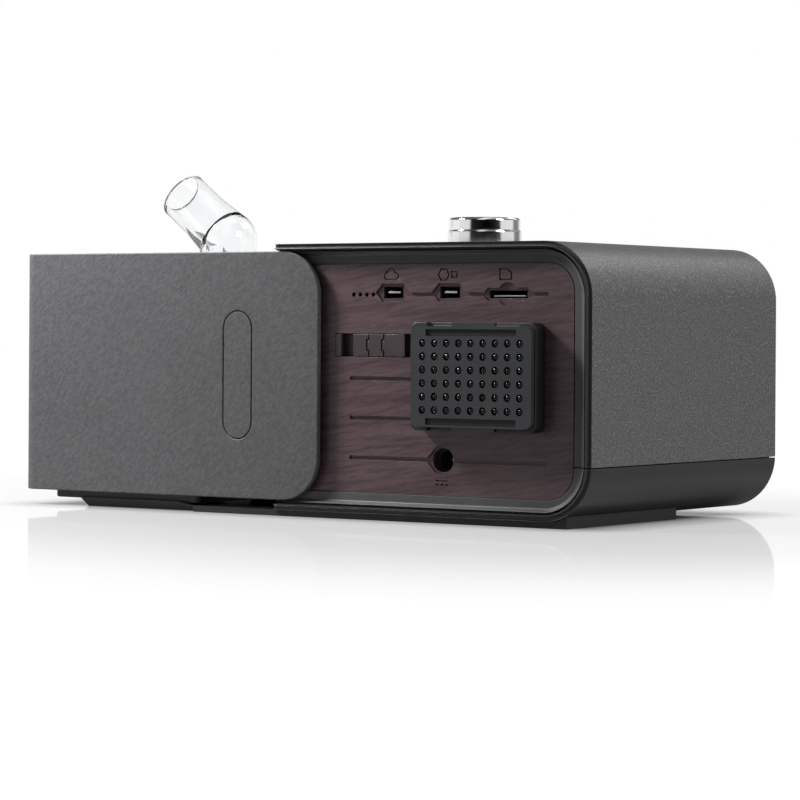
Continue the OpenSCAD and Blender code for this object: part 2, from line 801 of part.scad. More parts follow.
module intake_muffler() {
    low = [muffler_x, muffler_y, [muffler_z0, muffler_z1]];
    tall = [filter_box_x, [muffler_y[1] - 2, frame_back - 0.8],
        [filter_z0 + 1, filter_z1 - 1]];
    color([0.12, 0.12, 0.13]) place() difference() {
        union() {
            box(low[0], low[1], low[2]);
            box(tall[0], tall[1], tall[2]);
        }
        box([low[0][0] + muffler_t, low[0][1] - muffler_t],
            [low[1][0] + muffler_t, low[1][1] - muffler_t],
            [low[2][0] + muffler_t, low[2][1] - muffler_t]);
        box([tall[0][0] + muffler_t, tall[0][1] - muffler_t],
            [tall[1][0] + muffler_t, tall[1][1] - muffler_t],
            [tall[2][0] + muffler_t, tall[2][1] - muffler_t]);
        // Way between the boxes, and the mouths at the filter and at the blower
        box([muffler_x[0] + muffler_t, filter_box_x[1] - muffler_t],
            [muffler_y[1] - 8, muffler_y[1] + 6],
            [filter_z0 + 1 + muffler_t, muffler_z1 - muffler_t]);
        box([filter_x0 + 7, filter_box_x[1] - 4], [frame_back - 4, frame_back],
            [filter_z0 + 6, filter_z1 - 6]);
        bar_z(blower_x, blower_y, [muffler_z1 - 4, muffler_z1 + 1], blower_inlet_r);
    }
}

module blower_mounts() {
    color([0.02, 0.02, 0.02]) place() for (a = [45:90:315]) difference() {
        bar_z(blower_x + mount_r * cos(a), blower_y + mount_r * sin(a),
            [muffler_z1 + 0.1, blower_z0 - 0.1], 4);
        bar_z(blower_x + mount_r * cos(a), blower_y + mount_r * sin(a),
            [muffler_z1, blower_z0], 1.5);
    }
}

module blower_housing() {
    color([0.2, 0.2, 0.21]) place() difference() {
        bar_z(blower_x, blower_y, [blower_z0, blower_z1], blower_r);
        bar_z(blower_x, blower_y, [blower_z0 + 2, blower_z1 + 1], blower_r - 2);
        bar_z(blower_x, blower_y, [blower_z0 - 1, blower_z0 + 3], blower_inlet_r);
        bar_x([blower_x + blower_r - impeller_r, blower_x + blower_r + 2], air_y, air_z, air_r);
    }
}

module blower_cover() {
    color([0.24, 0.24, 0.25]) place() difference() {
        bar_z(blower_x, blower_y, [blower_z1 + 0.1, blower_z1 + 2.4], blower_r);
        bar_z(blower_x, blower_y, [blower_z1 - 1, blower_z1 + 3], 5);
    }
}

module blower_motor() {
    color([0.66, 0.66, 0.68]) place() difference() {
        union() {
            bar_z(blower_x, blower_y, [motor_z0, blower_z1], motor_r);
            bar_z(blower_x, blower_y, [blower_z1 - eps, blower_z1 + 4], 4.8);
        }
        bar_z(blower_x, blower_y, [motor_z0 - 1, blower_z1 + 2], motor_shaft_r + run_gap);
    }
}

blade_n = 11;
module impeller() {
    z0 = blower_z0 + 4;
    z1 = motor_z0 - 1.5;
    color([0.85, 0.85, 0.83]) place() translate([blower_x, blower_y, 0]) {
        translate([0, 0, z1 - 1.4]) cylinder(h = 1.4, r = impeller_r);
        translate([0, 0, z0]) cylinder(h = z1 - z0, r = 5);
        translate([0, 0, z1 - eps]) cylinder(h = blower_z1 - z1 - 2, r = motor_shaft_r);
        for (i = [0:blade_n - 1]) rotate(i * 360 / blade_n) translate([4, -0.5, z0 + 1.5])
            rotate(12) cube([impeller_r - 5.5, 1, z1 - z0 - 2]);
    }
}

module outlet_duct() {
    color([0.12, 0.12, 0.13]) place() difference() {
        bar_x([blower_x + blower_r - volute_shift, dock_x1 - socket_len - 0.2], air_y, air_z,
            air_r + duct_t);
        bar_x([blower_x + blower_r - impeller_r, dock_x1], air_y, air_z, air_r);
        bar_z(blower_x, blower_y, [blower_z0, blower_z1 + 3], blower_r + 0.2);
    }
}

// Socket in the docking wall, which takes the humidifier's air spigot
module air_socket() {
    color([0.08, 0.08, 0.085]) place() difference() {
        bar_x([dock_x1 - socket_len, dock_x1], air_y, air_z, spigot_r + 0.6 + duct_t);
        bar_x([dock_x1 - socket_len + 1.6, dock_x1 + 1], air_y, air_z, spigot_r + 0.6);
        bar_x([dock_x1 - socket_len - 1, dock_x1], air_y, air_z, air_r);
    }
}

module outlet_seal() {
    x0 = dock_x1 - socket_len + 1.7;
    color([0.75, 0.2, 0.15]) place() difference() {
        bar_x([x0, main_w + dock_gap - spigot_len - 0.3], air_y, air_z, spigot_r + 0.5);
        bar_x([x0 - 1, main_w], air_y, air_z, air_r - 0.6);
    }
}

module flow_sensor() {
    top = air_z + air_r + duct_t;
    color([0.1, 0.35, 0.45]) place()
        box([blower_x + 36, blower_x + 43], [air_y - 5, air_y + 5], [top + 0.2, top + 7]);
}

module dock_socket() {
    wall_t = 1.8;
    color([0.04, 0.04, 0.045]) place() difference() {
        box([dock_x0 - 5, dock_x1], [plug_y[0] - wall_t, plug_y[1] + wall_t],
            [plug_z[0] - wall_t, plug_z[1] + wall_t]);
        box([dock_x1 - plug_len - 0.9, dock_x1 + 1], [plug_y[0] - 0.4, plug_y[1] + 0.4],
            [plug_z[0] - 0.4, plug_z[1] + 0.4]);
        for (i = [0:3]) bar_x([dock_x0 - 6, dock_x1], plug_y[0] + 4.5 + i * 5,
            (plug_z[0] + plug_z[1]) / 2, 0.75);
    }
}

module dock_contacts() {
    color([0.85, 0.7, 0.35]) place() for (i = [0:3])
        bar_x([dock_x0 - 4.6, dock_x1 - 1.2], plug_y[0] + 4.5 + i * 5,
            (plug_z[0] + plug_z[1]) / 2, 0.73);
}

rail_y = [-6.2, -1.5];
rail_reach = main_w + slide_out - 1;
side_rail_x = [12, 24];
side_rail_len = 85.5;
side_rail_y = [rail_y[1] - side_rail_len, rail_y[1]];
inner_rail_y = [side_rail_y[0], -skid_y[1] - 2 * fit_gap];
pad_w = 14;
pad_y = [-main_d + 9, -main_d + 9 + pad_w];
pad_x = [56, main_w - 25];
module main_feet() {
    color([0.03, 0.03, 0.032]) place() {
        // Rail along the rear, which carries on under the module, and rail on the plain side
        box([corner_r, rail_reach], rail_y, [0, foot_h]);
        difference() {
            box(side_rail_x, side_rail_y, [0, foot_h + 4]);
            slab([-main_d, 1]) casing_outline(-0.1);
            box([corner_r, main_w], [-main_d, 1], [foot_h, main_h]);
        }
        box([main_w - 14, main_w - 2], inner_rail_y, [0, foot_h]);
        for (x = pad_x) box([x, x + pad_w], pad_y, [0, foot_h]);
    }
}

module case_screws() {
    color([0.6, 0.6, 0.62]) place() for (x = screw_x, y = screw_y) difference() {
        union() {
            bar_z(x, y, [foot_h + 0.2, foot_h + 1.2], screw_head_r - 0.2);
            bar_z(x, y, [foot_h + 1, tray_z0 + 1], 1.28);
        }
        translate([x, y, foot_h]) cylinder(h = 0.8, r = 1.2, $fn = 6);
    }
}

// ---- humidifier module ----

// Plan of the module, set in from its outer surface
module module_plan(inset) {
    x0 = module_x0 + inset;
    x1 = module_x1 - inset;
    y0 = module_y0 + inset;
    y1 = module_y1 - inset;
    r = front_r - inset;
    translate([x0, y0 + r]) square([x1 - x0, y1 - y0 - r]);
    translate([x0, y0]) square([x1 - x0 - r, r + 1]);
    translate([x1 - r, y0 + r]) circle(r);
}

module humidifier_shell() {
    ear_x = [module_x0 + ear_in, module_x1 - ear_in - ear_w];
    color([0.27, 0.275, 0.28]) place() difference() {
        union() {
            difference() {
                translate([0, 0, plate_low_z]) linear_extrude(rim_z - plate_low_z) module_plan(0);
                translate([0, 0, module_floor_z + 2]) linear_extrude(rim_z) module_plan(wall);
                translate([0, 0, 0]) linear_extrude(module_floor_z) module_plan(wall);
            }
            // Rear wall that rises behind the lid and carries the hinge ears
            box([module_x0, module_x1 - 3], [module_y1 - wall, module_y1],
                [rim_z - 1, lid_z1 - 0.2]);
            for (x = ear_x) {
                bar_x([x, x + ear_w], hinge_y, hinge_z, barrel_r);
                box([x, x + ear_w], [hinge_y, module_y1 - 1], [hinge_z - barrel_r, hinge_z]);
            }
            // Supports of the heater plate
            for (x = heater_x + [6, -6], y = heater_y + [6, -6])
                bar_z(x, y, [module_floor_z, heater_z0 - 0.1], 3);
        }
        for (x = ear_x) bar_x([x - 1, x + ear_w + 1], hinge_y, hinge_z, pin_d / 2 + 0.02);
        // Room for the plate's wrap at the outer rear corner
        box([module_x1 - plate_t - fit_gap, module_x1 + 1], [wrap_y - fit_gap, 1],
            [0, lid_z1 + 1]);
        translate([module_x1 - wrap_r, plate_y1 - wrap_r, 0]) difference() {
            cube([wrap_r + 1, wrap_r + 1, lid_z1 + 1]);
            translate([0, 0, -1]) cylinder(h = lid_z1 + 3, r = wrap_r - plate_t - fit_gap);
        }
        // Windows for the air spigot, the plug, the tongue and the latch
        bar_x([module_x0 - 1, module_x0 + wall + 1], air_y, air_z, spigot_r + 0.15);
        box([module_x0 - 1, module_x0 + wall + 1], plug_y + [-0.2, 0.2], plug_z + [-0.2, 0.2]);
        box([module_x0 - 1, module_x0 + wall + 1], tongue_y + [-0.2, 0.2],
            [plate_low_z - 1, tongue_z[1] + 0.2]);
        box([latch_x - latch_w / 2 - 0.4, latch_x + latch_w / 2 + 0.4],
            [module_y0 - 1, module_y0 + wall + 1],
            [latch_z0 - 0.4, latch_z1 + 0.4]);
    }
}

base_x = [module_x0 + 1, module_x1 - 11.6];
base_plan_r = 3;
base_y = [module_y0 + 6.5, module_y1 - 5.7];
base_z0 = 3.2;
base_r = 3;
skid_out = 42;
skid_end = module_x1 - 33;
skid_ramp = 5;
module humidifier_base() {
    color([0.08, 0.08, 0.085]) place() {
        intersection() {
            translate([0, 0, base_z0]) linear_extrude(plate_low_z - base_z0 - 0.1)
                rounded(base_x, base_y, base_plan_r, base_plan_r);
            slab(base_y + [-1, 1]) rounded(base_x + [-10, 0], [base_z0, main_h], base_r, base_r);
        }
        // Locating rim that fits inside the shell
        difference() {
            box([module_x0 + wall + 0.2, base_x[1] - base_r], base_y,
                [plate_low_z - 0.2, plate_low_z + 0.2]);
            box([module_x0, module_x0 + wall + 18], tongue_y + [-1, 1],
                [plate_low_z - 0.1 + eps, plate_low_z + 1]);
        }
        // Skid that the module slides on, low enough to pass under the main casing
        slab([-skid_y[1], -skid_y[0]]) polygon([
            [module_x0 - skid_out, 0], [skid_end, 0], [skid_end + skid_ramp, base_z0 + 0.5],
            [module_x0 + 12, base_z0 + 0.5], [module_x0 + 2, foot_h - 0.4],
            [module_x0 - skid_out, foot_h - 0.4]
        ]);
    }
}

module humidifier_feet() {
    color([0.03, 0.03, 0.032]) place()
        for (x = [module_x0 + 16, module_x1 - 35], y = [base_y[0] + 12, -skid_y[1] - 15])
            bar_z(x, y, [0, base_z0], 7);
}

// Plan of the rear plate, which wraps round the outer side
module plate_plan() {
    arc = [module_x1 - wrap_r, plate_y1 - wrap_r];
    difference() {
        union() {
            translate([plate_x0, plate_y0]) square([arc[0] - plate_x0, plate_t]);
            translate(arc) circle(wrap_r);
            translate([arc[0], wrap_y]) square([wrap_r, arc[1] - wrap_y]);
        }
        translate(arc) circle(wrap_r - plate_t);
        translate(arc - [wrap_r + 1, wrap_r + 1]) square([wrap_r + 1, 2 * wrap_r + 1 - plate_t]);
        translate(arc - [1, 2 * wrap_r]) square([wrap_r - plate_t + 1, 2 * wrap_r]);
    }
}

// Rear plate that slides over the main casing's panel
module slide_plate() {
    color([0.36, 0.365, 0.375]) place() difference() {
        intersection() {
            translate([0, 0, plate_low_z]) linear_extrude(plate_z1 - plate_low_z) plate_plan();
            slab([wrap_y - 1, 1])
                rounded([plate_x0, module_x1], [plate_low_z, plate_z1], plate_r, plate_edge_r);
        }
        slab([plate_y0 - 1, 1])
            stadium(push_x, push_z, push_w + 2 * push_gap, push_h + 2 * push_gap);
    }
}

press_travel = 0.9;
nose_w = 3.6;
module push_button() {
    nose_x = push_x - push_w / 2 - nose_reach;
    color([0.37, 0.375, 0.385]) place() {
        slab([plate_y0 + 0.2, plate_y1]) stadium(push_x, push_z, push_w, push_h);
        // Latch arm behind the plate, with its nose towards the catch
        box([nose_x, push_x], [plate_y0 - 0.75, plate_y0 - 0.15], [clip_z0 + 1, clip_z1 - 1]);
        box([push_x - 3, push_x + 3], [plate_y0 - 0.75, plate_y0 + 0.4],
            [clip_z0 + 1, clip_z1 - 1]);
    }
}

// Leaf behind the plate, which returns the push button
module button_spring() {
    leaf_y = -land_depth + 0.2;
    x = [push_x - push_w / 2 - 1.5, push_x + push_w / 2 + 1.5];
    z = [push_z - 15, push_z - 3];
    pad = 1.4;
    color([0.7, 0.7, 0.72]) place() {
        box(x, [leaf_y, leaf_y + 0.3], z);
        for (e = [x[0], x[1] - pad]) box([e, e + pad], [leaf_y, plate_y0 - 0.05], z);
    }
}

module dock_tongue() {
    color([0.16, 0.16, 0.17]) place() difference() {
        box([module_x0 - tongue_len, module_x0 + tongue_root], tongue_y, tongue_z);
        for (y = [tongue_y[0] + groove_in, tongue_y[1] - groove_in])
            box([module_x0 - tongue_len + groove_end, module_x0 - groove_end], [y - 2, y + 2],
                [tongue_z[1] - 0.8, tongue_z[1] + 1]);
    }
}

module air_spigot() {
    color([0.1, 0.1, 0.105]) place() difference() {
        union() {
            bar_x([module_x0 - spigot_len, tank_x0 - 2.4], air_y, air_z, spigot_r);
            bar_x([module_x0 + wall + 0.1, module_x0 + wall + 1.4], air_y, air_z, spigot_r + 2);
        }
        bar_x([module_x0 - spigot_len - 1, tank_x0], air_y, air_z, spigot_r - duct_t);
    }
}

module inlet_seal() {
    color([0.75, 0.2, 0.15]) place() difference() {
        bar_x([tank_x0 - 2.3, tank_x0 - 0.2], air_y, air_z, spigot_r + 1.6);
        bar_x([tank_x0 - 3, tank_x0], air_y, air_z, spigot_r - duct_t);
    }
}

module dock_plug() {
    color([0.05, 0.05, 0.055]) place() difference() {
        box([module_x0 - plug_len, module_x0 + wall + 0.4], plug_y, plug_z);
        for (i = [0:3]) bar_x([module_x0 - plug_len - 1, module_x0 + wall - 1],
            plug_y[0] + 4.5 + i * 5, (plug_z[0] + plug_z[1]) / 2, 1.1);
    }
}

module humidifier_board() {
    x = module_x0 + wall + 0.6;
    color([0.05, 0.3, 0.16]) place() box([x, x + 1.6], plug_y + [-6, 6],
        [module_floor_z + 2.1, plug_z[1] + 22]);
}

heater_x = [module_x0 + 12, module_x1 - 14];
heater_y = [tank_y0 + 16.8, tank_y1 - 18];
heater_z0 = module_floor_z + 2.4;
module heater_plate() {
    color([0.75, 0.76, 0.78]) place()
        box(heater_x, heater_y, [heater_z0, tank_z0 - 1.5]);
}

module tank_plan(inset) {
    rounded([tank_x0 + inset, tank_x1 - inset], [tank_y0 + inset, tank_y1 - inset],
        tank_r - inset, tank_r - inset);
}

module water_tank() {
    color([0.8, 0.86, 0.9, 0.5]) place() difference() {
        union() {
            translate([0, 0, tank_z0]) linear_extrude(tank_h) tank_plan(0);
            translate([0, 0, tank_z1 - flange_t]) linear_extrude(flange_t) tank_plan(-flange_w);
        }
        translate([0, 0, tank_z0 + tank_t]) linear_extrude(tank_h) tank_plan(tank_t);
        bar_x([tank_x0 - 1, tank_x0 + tank_t + 1], air_y, air_z, spigot_r - duct_t);
    }
}

module tank_plate() {
    color([0.78, 0.79, 0.8]) place()
        box(heater_x + [2, -2], heater_y + [2, -2], [tank_z0 - 1.3, tank_z0 - 0.1]);
}

module hinge_pin() {
    color([0.75, 0.75, 0.77]) place()
        bar_x([module_x0 + ear_in + 0.2, module_x1 - ear_in - 0.2], hinge_y, hinge_z, pin_d / 2);
}

module tank_lid() {
    seat = [tank_x0 + plug_in, tank_x1 - plug_in];
    seat_y = [tank_y0 + plug_in, tank_y1 - plug_in];
    color([0.3, 0.305, 0.315]) place() difference() {
        union() {
            // Top skin, with a rear edge rounded about the hinge
            intersection() {
                translate([0, 0, lid_z0]) linear_extrude(hinge_r) module_plan(0);
                box([0, module_x1 + 1], [-main_d, hinge_y], [0, lid_z1 + 1]);
            }
            intersection() {
                bar_x([module_x0 + wall + fit_gap, module_x1 - plate_t - 2 * fit_gap], hinge_y, hinge_z,
                    hinge_r);
                box([0, module_x1 + 1], [hinge_y - eps, 0], [hinge_z, lid_z1 + 1]);
            }
            bar_x([module_x0 + ear_in + ear_w + 0.3, module_x1 - ear_in - ear_w - 0.3],
                hinge_y, hinge_z, barrel_r);
            // Hook that the latch holds down
            box([latch_x - 5, latch_x + 5], [module_y0 + wall + 0.3, module_y0 + wall + 1.1],
                [latch_z1 + 1.2, lid_z0 + eps]);
            box([latch_x - 5, latch_x + 5], [module_y0 + wall + 0.3, module_y0 + wall + 2],
                [latch_z1 + 1.2, latch_z1 + 2.4]);
            // Ring that presses the seal onto the tank's rim
            difference() {
                translate([0, 0, tank_z1 + 2.6]) linear_extrude(lid_z0 - tank_z1 - 2.6 + eps)
                    rounded(seat, seat_y, 6, 6);
                translate([0, 0, tank_z1]) linear_extrude(lid_z0 - tank_z1)
                    rounded(seat + [2, -2], seat_y + [2, -2], 4, 4);
            }
        }
        box([module_x1 - plate_t - 2 * fit_gap, module_x1 + 1], [wrap_y - 2.4, 1],
            [0, lid_z1 + 1]);
        for (x = [module_x0 + ear_in, module_x1 - ear_in - ear_w])
            box([x - fit_gap, x + ear_w + fit_gap], [hinge_y - barrel_r - 0.6, 1],
                [0, lid_z1 + 1]);
        bar_x([module_x0, module_x1], hinge_y, hinge_z, pin_d / 2 + run_gap);
        bar_z(elbow_x, elbow_y, [lid_z0 - 1, lid_z1 + 1], elbow_d / 2 + 0.3);
        bar_z(elbow_x, elbow_y, [lid_z0 + 1, lid_z0 + 2.8], elbow_d / 2 + 1.8);
    }
}

module lid_seal() {
    seat = [tank_x0 + 0.5, tank_x1 - 0.5];
    seat_y = [tank_y0 + 0.5, tank_y1 - 0.5];
    color([0.8, 0.8, 0.78]) place() difference() {
        translate([0, 0, tank_z1 + 0.2]) linear_extrude(2.3) rounded(seat, seat_y, 9.5, 9.5);
        translate([0, 0, tank_z1]) linear_extrude(3)
            rounded(seat + [7.5, -7.5], seat_y + [7.5, -7.5], 4, 4);
    }
}

module lid_latch() {
    color([0.12, 0.12, 0.125]) place() {
        box([latch_x - latch_w / 2, latch_x + latch_w / 2],
            [module_y0 + 0.2, module_y0 + wall + 0.3], [latch_z0, latch_z1]);
        box([latch_x - latch_w / 2 - 2, latch_x + latch_w / 2 + 2],
            [module_y0 + wall + 0.2, module_y0 + wall + 1.4], [latch_z0 + 1, latch_z1 - 1]);
        // Arm that stands behind the lid's hook
        box([latch_x - 6, latch_x + 6], [module_y0 + wall + 1, module_y0 + wall + 3.4],
            [latch_z0 + 1, latch_z1 - 1]);
        box([latch_x - 6, latch_x + 6], [module_y0 + wall + 2.4, module_y0 + wall + 3.4],
            [latch_z0 + 1, latch_z1 + 4]);
    }
}

module elbow_seal() {
    color([0.1, 0.1, 0.1]) place() difference() {
        bar_z(elbow_x, elbow_y, [lid_z0 + 1.1, lid_z0 + 2.7], elbow_d / 2 + 1.7);
        bar_z(elbow_x, elbow_y, [lid_z0, lid_z0 + 4], elbow_d / 2 + 0.1);
    }
}

// Clear elbow that turns in the lid and takes the hose
module outlet_elbow() {
    r = elbow_d / 2;
    grip_r = outlet_d / 2;
    lean = 90 - elbow_angle;
    color([0.85, 0.9, 0.93, 0.4]) place() translate([elbow_x, elbow_y, 0]) difference() {
        union() {
            translate([0, 0, elbow_snap_z]) cylinder(h = bend_z - elbow_snap_z, r = r);
            translate([0, 0, elbow_snap_z]) cylinder(h = 2, r = r + 1.4);
            translate([0, 0, bend_z]) sphere(r = r);
            translate([0, 0, bend_z]) rotate([0, lean, 0]) {
                cylinder(h = elbow_len - grip_len, r1 = r, r2 = grip_r);
                translate([0, 0, elbow_len - grip_len - eps]) cylinder(h = grip_len + eps, r = grip_r);
            }
        }
        translate([0, 0, elbow_snap_z - 1]) cylinder(h = bend_z - elbow_snap_z + 1, r = r - elbow_t);
        translate([0, 0, bend_z]) sphere(r = r - elbow_t);
        translate([0, 0, bend_z]) rotate([0, lean, 0])
            cylinder(h = elbow_len + 1, r = grip_r - elbow_t);
    }
}

upper_shell();
lower_shell();
dock_wall();
rear_frame();
rear_panel();
clip_insert();
filter_housing();
air_filter();
filter_cover();
dc_jack();
dc_pin();
link_ports();
card_reader();
port_board();
front_fascia();
display_window();
display_panel();
main_board();
start_button();
encoder_body();
encoder_plunger();
encoder_shaft();
knob_skirt();
knob_cap();
chassis_tray();
intake_muffler();
blower_mounts();
blower_housing();
blower_cover();
blower_motor();
impeller();
outlet_duct();
air_socket();
outlet_seal();
flow_sensor();
dock_socket();
dock_contacts();
main_feet();
case_screws();
humidifier_shell();
humidifier_base();
humidifier_feet();
slide_plate();
push_button();
button_spring();
dock_tongue();
air_spigot();
inlet_seal();
dock_plug();
humidifier_board();
heater_plate();
water_tank();
tank_plate();
hinge_pin();
tank_lid();
lid_seal();
lid_latch();
elbow_seal();
outlet_elbow();
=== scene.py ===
import json
import math

import bmesh
import bpy
from mathutils import Matrix, Vector


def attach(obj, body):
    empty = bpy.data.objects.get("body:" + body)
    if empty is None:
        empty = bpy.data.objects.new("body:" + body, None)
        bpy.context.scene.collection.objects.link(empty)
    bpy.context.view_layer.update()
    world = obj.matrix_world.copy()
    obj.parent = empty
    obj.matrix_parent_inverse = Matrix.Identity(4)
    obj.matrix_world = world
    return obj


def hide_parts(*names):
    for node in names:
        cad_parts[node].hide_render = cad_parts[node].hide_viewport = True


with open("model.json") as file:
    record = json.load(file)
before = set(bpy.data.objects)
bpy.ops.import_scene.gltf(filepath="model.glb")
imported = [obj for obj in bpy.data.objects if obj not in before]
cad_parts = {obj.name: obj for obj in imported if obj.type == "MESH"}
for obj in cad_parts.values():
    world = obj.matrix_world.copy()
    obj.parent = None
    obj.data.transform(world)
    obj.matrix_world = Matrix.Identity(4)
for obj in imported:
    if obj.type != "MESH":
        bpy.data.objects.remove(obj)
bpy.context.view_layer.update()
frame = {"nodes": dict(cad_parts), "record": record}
nodes = frame["nodes"]
slotOf = {entry["node"]: entry["material_slot"] for entry in frame["record"]["subparts"]}
bodyOf = {n: body for body, members in frame["record"]["behaviour"]["bodies"].items() for n in members}
mm = 0.001
rimCorner = {"x": -145.5, "y": 73.35}  # where the plain side wall meets the rear rim, in the shared frame
print("frame loaded")


def at(x, y, z):  # millimetres from the plain side wall, the rear rim and the floor
    return Vector(((x + rimCorner["x"]) * mm, (y + rimCorner["y"]) * mm, z * mm))


# what all finishes share

white = (1.0, 1.0, 1.0)


def grey(value):  # with a trace of blue
    return (value, value, value * 1.02)


def newFinish(name, colour, roughness, metallic=0.0):
    mat = bpy.data.materials.new(name)
    mat.use_nodes = True
    tree = mat.node_tree
    shader = tree.nodes["Principled BSDF"]
    shader.inputs["Base Color"].default_value = (*colour, 1.0)
    shader.inputs["Roughness"].default_value = roughness
    shader.inputs["Metallic"].default_value = metallic
    coords = tree.nodes.new("ShaderNodeTexCoord")
    return mat, tree, shader, coords


def addNode(tree, kind, **values):
    node = tree.nodes.new(kind)
    for key, value in values.items():
        setattr(node, key, value)
    return node


def maths(tree, operation, *values, clamp=False):
    # each value is a number or another node's output
    node = addNode(tree, "ShaderNodeMath", operation=operation, use_clamp=clamp)
    for value, socket in zip(values, node.inputs):
        if isinstance(value, (int, float)):
            socket.default_value = value
        else:
            tree.links.new(value, socket)
    return node.outputs["Value"]


def noise(tree, coords, scale, detail=2.0, rough=0.5, distortion=0.0, mapping=None):
    tex = addNode(tree, "ShaderNodeTexNoise")
    tex.inputs["Scale"].default_value = scale
    tex.inputs["Detail"].default_value = detail
    tex.inputs["Roughness"].default_value = rough
    tex.inputs["Distortion"].default_value = distortion
    mapping = mapping or addNode(tree, "ShaderNodeMapping")
    tree.links.new(coords.outputs["Object"], mapping.inputs["Vector"])
    tree.links.new(mapping.outputs["Vector"], tex.inputs["Vector"])
    return tex.outputs["Fac"]


def strokes(tree, coords, length, angle, **values):
    # noise drawn out along a line that rises towards -x
    mapping = addNode(tree, "ShaderNodeMapping", vector_type="TEXTURE")
    mapping.inputs["Rotation"].default_value = (0.0, math.radians(angle), 0.0)
    mapping.inputs["Scale"].default_value = (length, 1.0, 1.0)
    return noise(tree, coords, mapping=mapping, **values)


def blended(tree, first, second, factor, kind="MULTIPLY"):
    node = addNode(tree, "ShaderNodeMix", data_type="RGBA", blend_type=kind)
    node.inputs["Factor"].default_value = factor
    tree.links.new(first, node.inputs["A"])
    tree.links.new(second, node.inputs["B"])
    return node.outputs["Result"]


def ramp(tree, source, stops):
    node = addNode(tree, "ShaderNodeValToRGB")
    elements = node.color_ramp.elements
    while len(elements) < len(stops):
        elements.new(0.5)
    for element, (place, colour) in zip(elements, stops):
        element.position = place
        element.color = (*colour, 1.0)
    tree.links.new(source, node.inputs["Fac"])
    return node.outputs["Color"]


def greyRamp(tree, source, stops):
    return ramp(tree, source, [(place, (value, value, value)) for place, value in stops])


def addBump(tree, shader, height, strength, distance, normal=None):
    bump = addNode(tree, "ShaderNodeBump")
    bump.inputs["Strength"].default_value = strength
    bump.inputs["Distance"].default_value = distance
    tree.links.new(height, bump.inputs["Height"])
    if normal:
        tree.links.new(normal, bump.inputs["Normal"])
    tree.links.new(bump.outputs["Normal"], shader.inputs["Normal"])
    return bump.outputs["Normal"]


# grained upper casing, its colour speckled with painted glints

shellLook = {"roughness": 0.42, "grain": 1300.0, "grainRough": 0.6, "sparkle": 1250.0, "sparkleRough": 0.7,
             "bump": 0.6, "depth": 0.00032, "colour": grey(0.106),
             "tones": ((0.36, grey(0.062)), (0.54, grey(0.106)), (0.7, grey(0.24)))}


def shellFinish():
    mat, tree, shader, coords = newFinish("shellGrain", shellLook["colour"], shellLook["roughness"])
    fine = noise(tree, coords, shellLook["grain"], rough=shellLook["grainRough"])
    sparkle = noise(tree, coords, shellLook["sparkle"], rough=shellLook["sparkleRough"])
    # the sparkle noise speckles the colour: its light specks are painted glints of the grain, the rest is the
    # grain's own tone
    tree.links.new(ramp(tree, sparkle, shellLook["tones"]), shader.inputs["Base Color"])
    addBump(tree, shader, fine, shellLook["bump"], shellLook["depth"])
    return mat


# wide rear plate and its button, grained like soft leather, with fine creases that run up to the right

plateLook = {"roughness": 0.55, "shine": 0.3, "colour": grey(0.107),
             "creases": {"scale": 1000.0, "length": 2.4, "angle": 42, "rough": 0.55, "distortion": 0.4},
             "tones": ((0.36, grey(0.09)), (0.5, grey(0.107)), (0.66, grey(0.126))),
             "patch": 45.0, "patchTones": ((0.35, grey(0.94)), (0.65, grey(1.0))),
             "pebble": 950.0, "pebbleBump": 0.35, "creaseBump": 0.4, "depth": 0.00012}


def plateFinish():
    mat, tree, shader, coords = newFinish("plateLeather", plateLook["colour"], plateLook["roughness"])
    shader.inputs["Specular IOR Level"].default_value = plateLook["shine"]
    creases = strokes(tree, coords, **plateLook["creases"])
    pebble = noise(tree, coords, plateLook["pebble"])
    tone = ramp(tree, creases, plateLook["tones"])
    patch = ramp(tree, noise(tree, coords, plateLook["patch"]), plateLook["patchTones"])
    tree.links.new(blended(tree, tone, patch, 1.0), shader.inputs["Base Color"])
    first = addBump(tree, shader, pebble, plateLook["pebbleBump"], plateLook["depth"])
    addBump(tree, shader, creases, plateLook["creaseBump"], plateLook["depth"], first)
    return mat


# printed wood of the rear panel, with painted shade that darkens it down in its channels and pictograms

woodLook = {"roughness": 0.36, "colour": (0.108, 0.064, 0.072),
            "broad": {"scale": 330.0, "length": 12.0, "angle": 5, "distortion": 0.2},
            "thin": {"scale": 700.0, "length": 13.0, "angle": 10, "detail": 3.0, "rough": 0.6,
                     "distortion": 0.2},
            "pores": {"scale": 1300.0, "length": 10.0, "angle": 12, "detail": 1.0},
            "tones": ((0.34, (0.084, 0.045, 0.052)), (0.47, (0.108, 0.064, 0.072)),
                      (0.62, (0.122, 0.076, 0.085))),
            "lines": ((0.38, (0.5, 0.45, 0.46)), (0.5, white)), "lineShare": 0.55,
            "specks": ((0.36, (0.6, 0.5, 0.52)), (0.46, white)), "speckShare": 0.5,
            "grooveShade": ((0.0, (0.74, 0.7, 0.7)), (1.0, white)), "grooveShadeDepth": (0.0676, 0.0681),
            "bump": 0.12, "depth": 0.00008}


